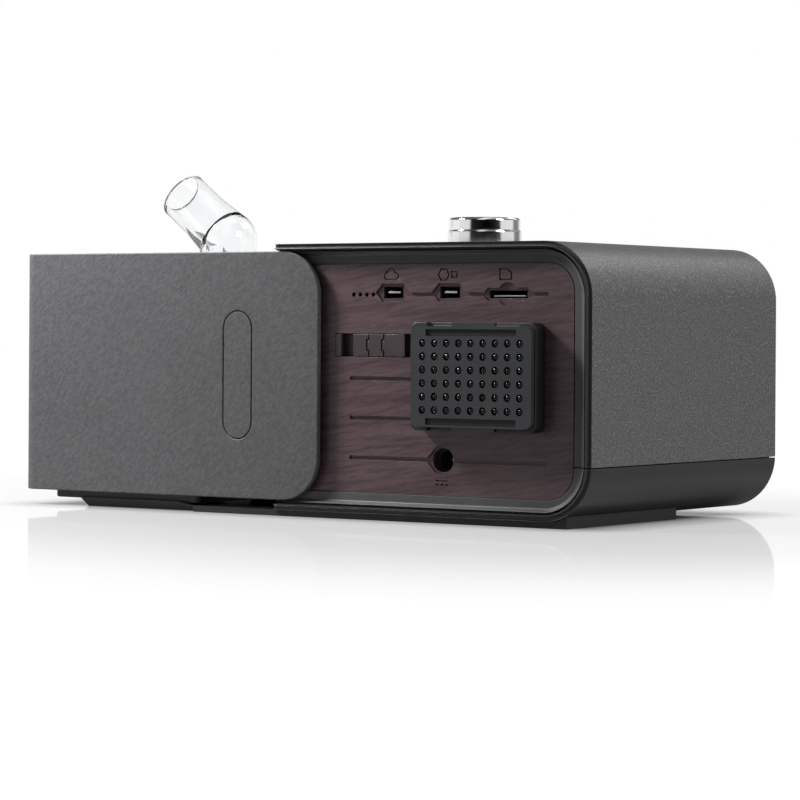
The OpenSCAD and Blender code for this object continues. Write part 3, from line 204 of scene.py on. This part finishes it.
def woodFinish():
    mat, tree, shader, coords = newFinish("woodPrint", woodLook["colour"], woodLook["roughness"])
    broad, thin, pores = [strokes(tree, coords, **woodLook[key]) for key in ("broad", "thin", "pores")]
    tone = ramp(tree, broad, woodLook["tones"])
    lined = blended(tree, tone, ramp(tree, thin, woodLook["lines"]), woodLook["lineShare"])
    whole = blended(tree, lined, ramp(tree, pores, woodLook["specks"]), woodLook["speckShare"])
    parts = addNode(tree, "ShaderNodeSeparateXYZ")
    tree.links.new(coords.outputs["Object"], parts.inputs["Vector"])
    # painted shade: the colour darkens below this depth, down in the channels and pictograms
    deep = addNode(tree, "ShaderNodeMapRange")
    deep.inputs["From Min"].default_value, deep.inputs["From Max"].default_value = woodLook["grooveShadeDepth"]
    tree.links.new(parts.outputs["Y"], deep.inputs["Value"])
    grooveShade = ramp(tree, deep.outputs["Result"], woodLook["grooveShade"])
    tree.links.new(blended(tree, whole, grooveShade, 1.0), shader.inputs["Base Color"])
    addBump(tree, shader, thin, woodLook["bump"], woodLook["depth"])
    return mat


# moulded plastics and rubbers, with a fine spark-eroded grain and slight changes of tone

mouldedLook = {"bump": 0.6, "detail": 3.0, "patch": 60.0, "stops": (0.3, 0.7)}
mouldedSlots = {  # finish, colour, roughness, grain, depth of the grain, spread of the tone
    "shell_lower": ("shellSmooth", grey(0.026), 0.36, 2200.0, 0.00005, 0.05),
    "dark_plastic": ("darkPlastic", grey(0.022), 0.45, 1600.0, 0.00006),
    "rail": ("railBrown", (0.052, 0.036, 0.040), 0.36, 1400.0, 0.00004),
    "filter_black": ("filterBlack", (0.036, 0.038, 0.042), 0.36, 1300.0, 0.00004),
    "filter_pad": ("padFibre", grey(0.6), 0.9, 500.0, 0.0005),
    "board_green": ("boardGreen", (0.02, 0.12, 0.05), 0.4, 300.0, 0.00004),
    "glass_black": ("windowBlack", (0.006, 0.006, 0.007), 0.06, 200.0, 0.000002),
    "screen": ("screenOff", (0.02, 0.025, 0.03), 0.2, 300.0, 0.00001),
    "inner_plastic": ("innerPlastic", grey(0.074), 0.52, 1200.0, 0.0002),
    "white_plastic": ("impellerWhite", (0.7, 0.7, 0.67), 0.4, 1200.0, 0.00004),
    "sensor_blue": ("sensorBlue", (0.02, 0.1, 0.18), 0.35, 900.0, 0.00004),
    "seal_red": ("sealRed", (0.4, 0.05, 0.035), 0.6, 900.0, 0.00004),
    "seal_white": ("sealWhite", (0.7, 0.7, 0.68), 0.6, 900.0, 0.00004),
    "rubber_black": ("footRubber", grey(0.007), 0.6, 900.0, 0.0001),
}


def mouldedFinish(name, colour, roughness, grain, depth, spread=0.12):
    mat, tree, shader, coords = newFinish(name, colour, roughness)
    fine = noise(tree, coords, grain, mouldedLook["detail"])
    slow = noise(tree, coords, mouldedLook["patch"])
    dark = tuple(c * (1 - spread) for c in colour)
    light = tuple(min(1.0, c * (1 + spread)) for c in colour)
    tone = ramp(tree, slow, list(zip(mouldedLook["stops"], (dark, light))))
    tree.links.new(tone, shader.inputs["Base Color"])
    addBump(tree, shader, fine, mouldedLook["bump"], depth)
    return mat


# metals, brushed by an uneven roughness

brushLook = {"scale": 700.0, "smoother": 0.05, "rougher": 0.06, "least": 0.02}
metalSlots = {  # finish, colour, roughness, stretch of the brushing
    "chrome_bright": ("capChrome", (0.83, 0.83, 0.84), 0.08),
    "satin_metal": ("skirtSatin", (0.8, 0.8, 0.81), 0.12, (1.0, 1.0, 0.05)),
    "steel": ("plainSteel", (0.55, 0.55, 0.56), 0.3),
    "contact_brass": ("contactBrass", (0.75, 0.56, 0.28), 0.25),
    "motor_metal": ("motorAluminium", (0.62, 0.62, 0.64), 0.32),
    "heater_metal": ("heaterAluminium", (0.65, 0.65, 0.66), 0.3),
}


def metalFinish(name, colour, roughness, stretch=(1.0, 1.0, 1.0)):
    mat, tree, shader, coords = newFinish(name, colour, roughness, 1.0)
    mapping = addNode(tree, "ShaderNodeMapping")
    mapping.inputs["Scale"].default_value = stretch
    brush = noise(tree, coords, brushLook["scale"], mapping=mapping)
    spread = addNode(tree, "ShaderNodeMapRange")
    spread.inputs["To Min"].default_value = max(brushLook["least"], roughness - brushLook["smoother"])
    spread.inputs["To Max"].default_value = roughness + brushLook["rougher"]
    tree.links.new(brush, spread.inputs["Value"])
    tree.links.new(spread.outputs["Result"], shader.inputs["Roughness"])
    return mat


# clear plastics, with a slight flow in their surface

clearLook = {"ior": 1.49, "flow": 40.0, "detail": 1.0, "bump": 0.05, "depth": 0.0002}
clearSlots = {  # finish, colour, roughness
    "clear_plastic": ("clearPlastic", (0.97, 0.98, 0.985), 0.03),
    "tank_clear": ("tankClear", (0.86, 0.91, 0.94), 0.06),
}


def clearFinish(name, colour, roughness):
    mat, tree, shader, coords = newFinish(name, colour, roughness)
    shader.inputs["Transmission Weight"].default_value = 1.0
    shader.inputs["IOR"].default_value = clearLook["ior"]
    flow = noise(tree, coords, clearLook["flow"], clearLook["detail"])
    addBump(tree, shader, flow, clearLook["bump"], clearLook["depth"])
    return mat


finishes = {"shell_upper": shellFinish(), "plate_grain": plateFinish(), "wood_look": woodFinish()}
for make, looks in ((mouldedFinish, mouldedSlots), (metalFinish, metalSlots), (clearFinish, clearSlots)):
    finishes.update({slot: make(*look) for slot, look in looks.items()})
for nodeName, node in nodes.items():
    node.data.materials.clear()
    node.data.materials.append(finishes[slotOf[nodeName]])
print("finishes made")


# making pieces

def linked(name, bm):  # a bmesh as an object of the scene
    mesh = bpy.data.meshes.new(name)
    bm.to_mesh(mesh)
    bm.free()
    obj = bpy.data.objects.new(name, mesh)
    bpy.context.scene.collection.objects.link(obj)
    return obj


def finishPiece(name, bm, slot, body, stands=(), sharp=38):
    bmesh.ops.recalc_face_normals(bm, faces=bm.faces)
    obj = linked(name, bm)
    for polygon in obj.data.polygons:
        polygon.use_smooth = True
    obj.data.set_sharp_from_angle(angle=math.radians(sharp))
    obj.data.materials.append(finishes[slot])
    even = obj.modifiers.new("evenShading", "WEIGHTED_NORMAL")
    even.keep_sharp = True
    even.weight = 60
    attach(obj, body)
    if stands:
        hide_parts(*stands)
    return obj


softening = {"merge": 0.000004, "flat": 0.6}  # metres, degrees


def softened(nodeName, width, segments=2, sharp=38, angle=28, slot=None):
    # the node's own solid with its edges broken
    bm = bmesh.new()
    bm.from_mesh(nodes[nodeName].data)
    bmesh.ops.remove_doubles(bm, verts=bm.verts, dist=softening["merge"])
    flat = math.radians(softening["flat"])
    bmesh.ops.dissolve_limit(bm, angle_limit=flat, verts=bm.verts, edges=bm.edges)
    edges = [e for e in bm.edges if e.is_manifold and e.calc_face_angle() > math.radians(angle)]
    bmesh.ops.bevel(bm, geom=edges, offset=width * mm, offset_type="OFFSET", affect="EDGES",
                    segments=segments, profile=0.5, material=-1, clamp_overlap=True)
    bmesh.ops.triangulate(bm, faces=[f for f in bm.faces if len(f.verts) > 4])
    name = nodeName + "Piece"
    return finishPiece(name, bm, slot or slotOf[nodeName], bodyOf[nodeName], [nodeName], sharp)


def spunProfile(bm, points, centre, axis, steps):
    # turns an open profile, given as (radius, height), round an axis
    lean = Vector((0, 0, 1)).rotation_difference(Vector(axis)).to_matrix()
    verts = [bm.verts.new(centre + lean @ Vector((r * mm, 0, h * mm))) for r, h in points]
    edges = [bm.edges.new(pair) for pair in zip(verts, verts[1:])]
    bmesh.ops.spin(bm, geom=verts + edges, cent=centre, axis=axis, angle=math.tau, steps=steps,
                   use_merge=True)
    bmesh.ops.remove_doubles(bm, verts=bm.verts, dist=0.000002)


def block(x, y, z, edge):
    bm = bmesh.new()
    size = Vector((x[1] - x[0], y[1] - y[0], z[1] - z[0])) * mm
    middle = (at(x[0], y[0], z[0]) + at(x[1], y[1], z[1])) / 2
    bmesh.ops.create_cube(bm, size=1.0, matrix=Matrix.Translation(middle) @ Matrix.Diagonal((*size, 1.0)))
    bmesh.ops.bevel(bm, geom=bm.edges[:], offset=edge * mm, affect="EDGES", segments=2, profile=0.5)
    return bm


def roundBar(x, y, z, radius, length):  # upright, centred on its middle
    bm = bmesh.new()
    bmesh.ops.create_cone(bm, cap_ends=True, segments=48, radius1=radius * mm, radius2=radius * mm,
                          depth=length * mm, matrix=Matrix.Translation(at(x, y, z)))
    return bm


def carve(obj, bm):
    # takes a bmesh's shape out of a piece, once
    cutter = linked("cutter", bm)
    tool = obj.modifiers.new("carve", "BOOLEAN")
    tool.operation = "DIFFERENCE"
    tool.solver = "EXACT"
    tool.object = cutter
    bpy.context.view_layer.objects.active = obj
    bpy.ops.object.modifier_move_to_index(modifier="carve", index=0)
    bpy.ops.object.modifier_apply(modifier="carve")
    bpy.data.objects.remove(cutter)


# casing halves, with the rim and its band of painted shade, the land round the panel, and a black ring of
# painted shade in the gap round the panel inside them

casing = {"width": 153.0, "depth": 151.0, "height": 112.0, "foot": 2.6, "corner": 22.0,
          "seam": 24.0, "seamGap": 0.44, "steps": 18, "sharp": 42, "lipRise": 0.1}
panelOpening = {"side": 10.5, "bottom": 10.7, "top": 103.9, "corner": 12.0}


def ringAt(inset, y):
    return (inset, casing["foot"] + inset, casing["height"] - inset, casing["corner"] - inset, y)


def tailAt(inset, y):  # a ring with its depth counted from the casing's front end
    return ringAt(inset, y - casing["depth"])


def lipAt(side, inset, y):  # like ringAt, wider on the plain side
    return (side, casing["foot"] + inset + casing["lipRise"], *ringAt(inset, y)[2:])


def panelAt(inset, y):  # follows the panel's opening
    return (panelOpening["side"] - inset, panelOpening["bottom"] - inset, panelOpening["top"] + inset,
            panelOpening["corner"] + inset, y)


outlineOf = {"ring": ringAt, "tail": tailAt, "lip": lipAt, "panel": panelAt}
walls = {"name": "Casing", "outlines": (
    ("tail", 0.0, 0.8), ("ring", 0.0, -0.4), ("ring", 0.1, -0.2), ("ring", 0.22, -0.25),
    ("ring", 0.24, -1.85), ("ring", 2.4, -1.85), ("tail", 2.4, 0.3), ("tail", 2.1, 0.0), ("tail", 0.8, 0.0),
    ("tail", 0.25, 0.25))}
rimShadeBand = {"name": "RimShadeBand", "slot": "dark_plastic", "outlines": (  # outer band, flat and narrow groove, in dark plastic as painted shade for the black band round the rim
    ("ring", 0.3, -1.72), ("ring", 0.32, -0.95), ("ring", 0.4, -0.85), ("ring", 1.45, -0.8),
    ("ring", 1.6, -0.7), ("ring", 1.75, -0.2), ("ring", 1.85, -0.05), ("ring", 2.0, 0.0),
    ("lip", 3.05, 2.1, 0.0), ("lip", 3.25, 2.2, -0.2), ("lip", 3.3, 2.25, -6.0), ("lip", 4.3, 3.2, -6.0),
    ("lip", 4.3, 3.2, -7.0), ("ring", 2.6, -7.0), ("ring", 2.6, -1.72))}
rimLand = {"name": "RimLand", "slot": "inner_plastic", "outlines": (  # slope and land round the panel
    ("lip", 4.4, 3.3, -7.0), ("lip", 4.4, 3.3, -1.95), ("lip", 4.6, 3.4, -1.7), ("lip", 4.9, 3.5, -1.75),
    ("lip", 6.9, 4.4, -4.1), ("lip", 7.3, 4.8, -4.35), ("lip", 7.7, 5.2, -4.4), ("panel", 0.3, -4.4),
    ("panel", 0.08, -4.48), ("panel", 0.0, -4.7), ("panel", 0.0, -7.0))}
# a black ring in the gap between the land and the panel: painted shade for that gap
panelGapShade = {"name": "PanelGapShade", "slot": "rubber_black", "outlines": (
    ("panel", 0.1, -5.3), ("panel", 0.1, -4.9), ("panel", -0.3, -4.9), ("panel", -0.4, -4.96),
    ("panel", -0.4, -5.3))}
shaftHole = {"x": 98.8, "y": -75.5, "z": 111, "radius": 4.0, "length": 12}
screwHoles = {"x": (44, 118), "y": (-130, -20), "z": 3.5, "radius": 3.1, "length": 6}


def quarterTurn(bm, vert, centre):
    made = bmesh.ops.spin(bm, geom=[vert], cent=centre, axis=(0, 1, 0), angle=-math.pi / 2,
                          steps=casing["steps"])
    return [g for g in made["geom_last"] if isinstance(g, bmesh.types.BMVert)][0]


def casingWire(bm, left, low, high, radius, y):
    # open outline from the docking side along the top, down the plain side and back
    start = bm.verts.new(at(casing["width"], y, high))
    turn = bm.verts.new(at(left + radius, y, high))
    bm.edges.new((start, turn))
    turn = quarterTurn(bm, turn, at(left + radius, y, high - radius))
    after = bm.verts.new(at(left, y, low + radius))
    bm.edges.new((turn, after))
    turn = quarterTurn(bm, after, at(left + radius, y, low + radius))
    end = bm.verts.new(at(casing["width"], y, low))
    bm.edges.new((turn, end))


def capHoles(bm):
    bmesh.ops.holes_fill(bm, edges=[e for e in bm.edges if e.is_boundary], sides=0)


def casingHalf(piece, upper, slot, stands=()):
    bm = bmesh.new()
    wires = []
    for kind, *values in piece["outlines"]:
        before = set(bm.edges)
        casingWire(bm, *outlineOf[kind](*values))
        wires.append([e for e in bm.edges if e not in before])
    for a, b in zip(wires, wires[1:] + wires[:1]):
        bmesh.ops.bridge_loops(bm, edges=a + b)
    capHoles(bm)
    bmesh.ops.recalc_face_normals(bm, faces=bm.faces)
    halfGap = casing["seamGap"] / 2
    height = casing["seam"] + (halfGap if upper else -halfGap)
    bmesh.ops.bisect_plane(bm, geom=bm.verts[:] + bm.edges[:] + bm.faces[:], dist=0.0000005,
                           plane_co=at(0, 0, height), plane_no=(0, 0, 1),
                           clear_inner=upper, clear_outer=not upper)
    capHoles(bm)
    name = ("upper" if upper else "lower") + piece["name"]
    return finishPiece(name, bm, slot, "main_unit", stands, casing["sharp"])


upperCasing = casingHalf(walls, True, "shell_upper", ["upper_shell"])
carve(upperCasing, roundBar(**shaftHole))
lowerCasing = casingHalf(walls, False, "shell_lower", ["lower_shell"])
for piece in (rimShadeBand, rimLand, panelGapShade):
    for upper in (True, False):
        casingHalf(piece, upper, piece["slot"])
for x in screwHoles["x"]:
    for y in screwHoles["y"]:
        carve(lowerCasing, roundBar(**{**screwHoles, "x": x, "y": y}))
print("casing halves made")


# rear panel and what it holds

rearEdges = {
    "rear_panel": {"width": 0.16},
    "clip_insert": {"width": 0.14},
    "filter_housing": {"width": 0.5, "segments": 3, "slot": "rubber_black"},
    "filter_cover": {"width": 0.3, "sharp": 15},
    "dc_jack": {"width": 0.2},
    "link_ports": {"width": 0.15, "segments": 1, "slot": "dark_plastic"},
    "card_reader": {"width": 0.15, "segments": 1, "slot": "dark_plastic"},
    "rear_frame": {"width": 0.15, "segments": 1},
    "dock_wall": {"width": 0.15, "segments": 1},
    "air_socket": {"width": 0.15, "segments": 1},
    "dock_socket": {"width": 0.15, "segments": 1},
}
rearPieces = {nodeName: softened(nodeName, **edge) for nodeName, edge in rearEdges.items()}

beads = {"x0": 30.4, "z0": 45.2, "stepX": 5.725, "stepZ": 5.32, "columns": 9, "rows": 6, "round": 14,
         "sharp": 40,
         "profile": ((0, 1.7), (1.9, 1.7), (1.9, 2.0), (1.52, 2.1), (1.52, 2.75), (1.45, 3.15), (1.3, 3.52),
                     (1.06, 3.83), (0.75, 4.07), (0.39, 4.21), (0, 4.25))}


def filterBeads():
    # rounded beads that fill the holes of the filter's cover
    bm = bmesh.new()
    for column in range(beads["columns"]):
        for row in range(beads["rows"]):
            place = at(beads["x0"] + column * beads["stepX"], 0, beads["z0"] + row * beads["stepZ"])
            spunProfile(bm, beads["profile"], place, (0, 1, 0), beads["round"])
    finishPiece("filterBeads", bm, "glass_black", bodyOf["filter_cover"], sharp=beads["sharp"])


portTongues = {"middles": {"portTongueA": 69.7, "portTongueB": 97.1}, "half": 3.0, "y": (-14.0, -6.4),
               "z": (91.7, 92.5), "edge": 0.12}
cardContacts = {"x": (34.5, 49.5), "y": (-14.0, -6.6), "z": (90.3, 90.8), "edge": 0.12}


def contactTongues():
    y, z, half = portTongues["y"], portTongues["z"], portTongues["half"]
    for name, middle in portTongues["middles"].items():
        tongue = block((middle - half, middle + half), y, z, portTongues["edge"])
        finishPiece(name, tongue, "steel", "main_unit")
    finishPiece("cardContacts", block(**cardContacts), "steel", "main_unit")


coverSlots = {"x": (32.0, 74.6), "y": (2.9, 5.0), "bottoms": {"Low": 39.4, "High": 74.7}, "height": 2.6,
              "edge": 0.3, "floor": {"y": (2.8, 3.5), "gap": 0.1, "edge": 0.05}}


def cutCoverSlots(cover):
    # two long slots of the filter's cover, and dark blocks at their floors that paint the shade in them
    left, right = coverSlots["x"]
    base = coverSlots["floor"]
    gap = base["gap"]
    for name, low in coverSlots["bottoms"].items():
        high = low + coverSlots["height"]
        carve(cover, block((left, right), coverSlots["y"], (low, high), coverSlots["edge"]))
        shade = block((left + gap, right - gap), base["y"], (low + gap, high - gap), base["edge"])
        finishPiece("slotShade" + name, shade, "rubber_black", bodyOf["filter_cover"])


filterBeads()
contactTongues()
cutCoverSlots(rearPieces["filter_cover"])
print("rear panel made")


# knob: profiles as (in from its radius, up from its foot, split or top)
# the upright rings of skirtTop set how softly the edge above them shades

knob = {"bore": 3.0, "base": 113.0, "split": 118.9, "top": 124.4, "gap": 0.05, "steps": 96, "sharp": 30,
        "skirt": 15.7, "skirtFoot": ((0.4, 0.0), (0.12, 0.08), (0.0, 0.35)),
        "skirtTop": ((0.0, -1.9), (0.0, -1.6), (0.0, -1.2), (0.0, -0.5), (0.12, -0.15), (0.4, 0.0)),
        "cap": 15.2, "capFoot": ((0.3, 0.0), (0.0, 0.2)),
        "capTop": ((0.0, -1.3), (0.12, -0.75), (0.45, -0.3), (1.0, -0.06), (1.5, 0.0), (2.2, -0.08),
                   (2.6, -0.35), (3.1, -0.45)), "capDish": 0.45, "capBase": 3.2}


def stepped(radius, height, steps):
    return [(radius - inward, height + up) for inward, up in steps]


def spunPart(name, points, slot, stands):
    bm = bmesh.new()
    spunProfile(bm, points, at(shaftHole["x"], shaftHole["y"], 0), (0, 0, 1), knob["steps"])
    finishPiece(name, bm, slot, "knob", stands, knob["sharp"])


def knobSkirt():
    bore, base, split = knob["bore"], knob["base"], knob["split"]
    foot = stepped(knob["skirt"], base, knob["skirtFoot"])
    top = stepped(knob["skirt"], split, knob["skirtTop"])
    points = [(bore, base), *foot, *top, (bore, split), (bore, base)]
    spunPart("knobSkirtPiece", points, "satin_metal", ["knob_skirt"])


def knobCap():
    bore, foot, top = knob["bore"], knob["split"] + knob["gap"], knob["top"]
    wall = stepped(knob["cap"], foot, knob["capFoot"]) + stepped(knob["cap"], top, knob["capTop"])
    dish, under = top - knob["capDish"], top - knob["capBase"]
    points = [(bore, foot), *wall, (0, dish), (0, under), (bore, under), (bore, foot)]
    spunPart("knobCapPiece", points, "chrome_bright", ["knob_cap"])


knobSkirt()
knobCap()
print("knob made")


# humidifier and front

humidifierEdges = {
    "slide_plate": {"width": 0.55, "segments": 4},
    "push_button": {"width": 0.35, "segments": 3},
    "humidifier_shell": {"width": 0.6, "segments": 3},
    "tank_lid": {"width": 0.5, "segments": 3},
    "humidifier_base": {"width": 0.4},
    "outlet_elbow": {"width": 0.35, "segments": 3, "sharp": 50, "angle": 40},
    "air_spigot": {"width": 0.4},
    "dock_plug": {"width": 0.3},
    "lid_latch": {"width": 0.3},
}
frontEdges = {
    "front_fascia": {"width": 0.4},
    "display_window": {"width": 0.25},
    "start_button": {"width": 0.4, "segments": 3},
}
for place, edges in (("humidifier", humidifierEdges), ("front", frontEdges)):
    for nodeName, edge in edges.items():
        softened(nodeName, **edge)
    print(place, "made")


# floor: pale, with a mirror image that fades away from the object, and a glow that dims towards the object's
# footprint as a painted contact shadow

floorLook = {"colour": (0.1, 0.1, 0.1), "roughness": 0.9, "mirrorRoughness": 0.04, "size": 6.0,
             "half": (0.13, 0.06), "reach": 1.6, "shinyShare": 0.2,
             "gloss": ((0.0, 0.36), (0.0875, 0.3), (0.175, 0.14), (0.26, 0.025), (0.31, 0.0)),
             "glow": ((0.0, 0.0), (0.007, 0.4), (0.02, 0.84), (0.0875, 0.9), (0.175, 1.0))}


def mixedShader(tree, share, first, second):
    node = addNode(tree, "ShaderNodeMixShader")
    for source, socket in zip((share, first, second), node.inputs):
        tree.links.new(source, socket)
    return node.outputs["Shader"]


def floorDistance(tree, coords):
    # how far a point of the floor lies from the object's footprint, as a share of the reach
    parts = addNode(tree, "ShaderNodeSeparateXYZ")
    tree.links.new(coords.outputs["Object"], parts.inputs["Vector"])
    joined = addNode(tree, "ShaderNodeCombineXYZ")
    for axis, half in zip("XY", floorLook["half"]):
        beyond = maths(tree, "SUBTRACT", maths(tree, "ABSOLUTE", parts.outputs[axis]), half)
        tree.links.new(maths(tree, "MAXIMUM", beyond, 0.0), joined.inputs[axis])
    length = addNode(tree, "ShaderNodeVectorMath", operation="LENGTH")
    tree.links.new(joined.outputs["Vector"], length.inputs[0])
    return maths(tree, "DIVIDE", length.outputs["Value"], floorLook["reach"], clamp=True)


def floorFinish():
    # the glow is seen by the camera and through glass, and weakly in shiny surfaces
    mat, tree, shader, coords = newFinish("paleFloor", floorLook["colour"], floorLook["roughness"])
    shader.inputs["Specular IOR Level"].default_value = 0.0
    away = floorDistance(tree, coords)
    path = addNode(tree, "ShaderNodeLightPath").outputs
    dimmed = maths(tree, "MULTIPLY", path["Is Glossy Ray"], floorLook["shinyShare"])
    straight = maths(tree, "MAXIMUM", path["Is Camera Ray"], dimmed)
    seen = maths(tree, "MAXIMUM", straight, path["Is Transmission Ray"])
    glow = addNode(tree, "ShaderNodeEmission")
    # the glow is weaker near the object's footprint and nothing under it: painted contact shadow
    strength = maths(tree, "MULTIPLY", seen, greyRamp(tree, away, floorLook["glow"]))
    tree.links.new(strength, glow.inputs["Strength"])
    both = addNode(tree, "ShaderNodeAddShader")
    tree.links.new(shader.outputs["BSDF"], both.inputs[0])
    tree.links.new(glow.outputs["Emission"], both.inputs[1])
    mirror = addNode(tree, "ShaderNodeBsdfGlossy")
    mirror.inputs["Roughness"].default_value = floorLook["mirrorRoughness"]
    gloss = greyRamp(tree, away, floorLook["gloss"])
    whole = mixedShader(tree, gloss, both.outputs["Shader"], mirror.outputs["BSDF"])
    tree.links.new(whole, tree.nodes["Material Output"].inputs["Surface"])
    return mat


bm = bmesh.new()
bmesh.ops.create_grid(bm, x_segments=1, y_segments=1, size=floorLook["size"])
floor = linked("floor", bm)
floor.data.materials.append(floorFinish())


# camera

camera = {"place": (-0.76835, 1.1051, 0.076955), "heading": (0.5684, -0.8228, 0.0), "roll": 0.344,
          "lens": 140.82, "sensor": 36.0, "shift": -0.0877, "far": 50.0}


def addCamera():
    cam = bpy.data.cameras.new("camera")
    cam.sensor_width = camera["sensor"]
    cam.lens = camera["lens"]
    cam.shift_y = camera["shift"]
    cam.clip_end = camera["far"]
    obj = bpy.data.objects.new("camera", cam)
    bpy.context.scene.collection.objects.link(obj)
    obj.location = camera["place"]
    ahead = Vector(camera["heading"]).to_track_quat("-Z", "Y").to_matrix()
    obj.rotation_euler = (ahead @ Matrix.Rotation(math.radians(camera["roll"]), 3, "Z")).to_euler()
    bpy.context.scene.camera = obj


# world: white to the camera and through glass, a studio with dark and bright sides to shiny surfaces,
# and a weak even fill to everything else

worldLook = {"fill": 0.1,
             "mirror": ((0.0, 0.0), (0.15, 0.02), (0.2, 0.85), (0.56, 0.9), (0.64, 0.25), (0.8, 0.25),
                        (0.93, 1.0)),
             "left": ((0.0, 0.0), (0.68, 0.0), (0.84, 1.0)),
             "high": ((0.0, 1.0), (0.1, 1.0), (0.28, 0.12)),
             "right": ((0.0, 0.0), (0.04, 0.0), (0.24, 1.0), (0.45, 1.0), (0.58, 0.2)),
             "rightHigh": ((0.0, 0.0), (0.14, 0.0), (0.34, 1.0))}


def studioSides(tree):
    # the colour that a shiny surface sees in each direction
    coords = addNode(tree, "ShaderNodeTexCoord")
    towards = addNode(tree, "ShaderNodeVectorMath", operation="DOT_PRODUCT")
    towards.inputs[1].default_value = camera["heading"]
    tree.links.new(coords.outputs["Generated"], towards.inputs[0])
    spread = addNode(tree, "ShaderNodeMapRange")
    spread.inputs["From Min"].default_value = -1.0
    tree.links.new(towards.outputs["Value"], spread.inputs["Value"])
    sides = addNode(tree, "ShaderNodeSeparateXYZ")
    tree.links.new(coords.outputs["Generated"], sides.inputs["Vector"])
    shade = greyRamp(tree, spread.outputs["Result"], worldLook["mirror"])
    leftShade = greyRamp(tree, sides.outputs["X"], worldLook["left"])
    highShade = greyRamp(tree, sides.outputs["Z"], worldLook["high"])
    lowered = blended(tree, blended(tree, shade, leftShade, 1.0, "LIGHTEN"), highShade, 1.0)
    # a soft box high on the plain side
    boxWide = greyRamp(tree, maths(tree, "MULTIPLY", sides.outputs["X"], -1.0), worldLook["right"])
    boxHigh = greyRamp(tree, sides.outputs["Z"], worldLook["rightHigh"])
    return blended(tree, lowered, blended(tree, boxWide, boxHigh, 1.0), 1.0, "LIGHTEN")


def studioWorld():
    world = bpy.data.worlds.new("studio")
    bpy.context.scene.world = world
    world.use_nodes = True
    tree = world.node_tree
    fill = tree.nodes["Background"]
    plain = addNode(tree, "ShaderNodeBackground")
    mirrored = addNode(tree, "ShaderNodeBackground")
    for backdrop, strength in ((fill, worldLook["fill"]), (plain, 1.0), (mirrored, 1.0)):
        backdrop.inputs["Color"].default_value = (*white, 1.0)
        backdrop.inputs["Strength"].default_value = strength
    tree.links.new(studioSides(tree), mirrored.inputs["Color"])
    path = addNode(tree, "ShaderNodeLightPath").outputs
    lit = mixedShader(tree, path["Is Glossy Ray"], fill.outputs["Background"], mirrored.outputs["Background"])
    seen = maths(tree, "MAXIMUM", path["Is Camera Ray"], path["Is Transmission Ray"])
    whole = mixedShader(tree, seen, lit, plain.outputs["Background"])
    tree.links.new(whole, tree.nodes["World Output"].inputs["Surface"])


# lamps, in metres and watts

lamps = {  # place, target, size, power
    "leftBox": ((0.28, 0.21, 0.37), (0.1, 0.07, 0.08), (0.1, 0.1), 3.6),
    "sideBox": ((-0.8, 0.08, 0.42), (-0.145, -0.02, 0.07), (0.3, 0.3), 3.6),
    "farBox": ((-0.3, -0.62, 0.72), (-0.145, -0.07, 0.08), (0.3, 0.3), 1.7),
    "topBox": ((0.1, -0.1, 1.5), (0.0, 0.0, 0.0), (1.1, 0.9), 2.4),
}


def addLamp(name, place, target, size, power):
    lamp = bpy.data.lights.new(name, "AREA")
    lamp.shape = "RECTANGLE"
    lamp.size, lamp.size_y = size
    lamp.energy = power
    obj = bpy.data.objects.new(name, lamp)
    bpy.context.scene.collection.objects.link(obj)
    obj.location = place
    obj.rotation_euler = (Vector(target) - Vector(place)).to_track_quat("-Z", "Y").to_euler()


addCamera()
studioWorld()
for name, look in lamps.items():
    addLamp(name, *look)
bpy.context.scene.view_settings.view_transform = "Standard"
print("stage made")
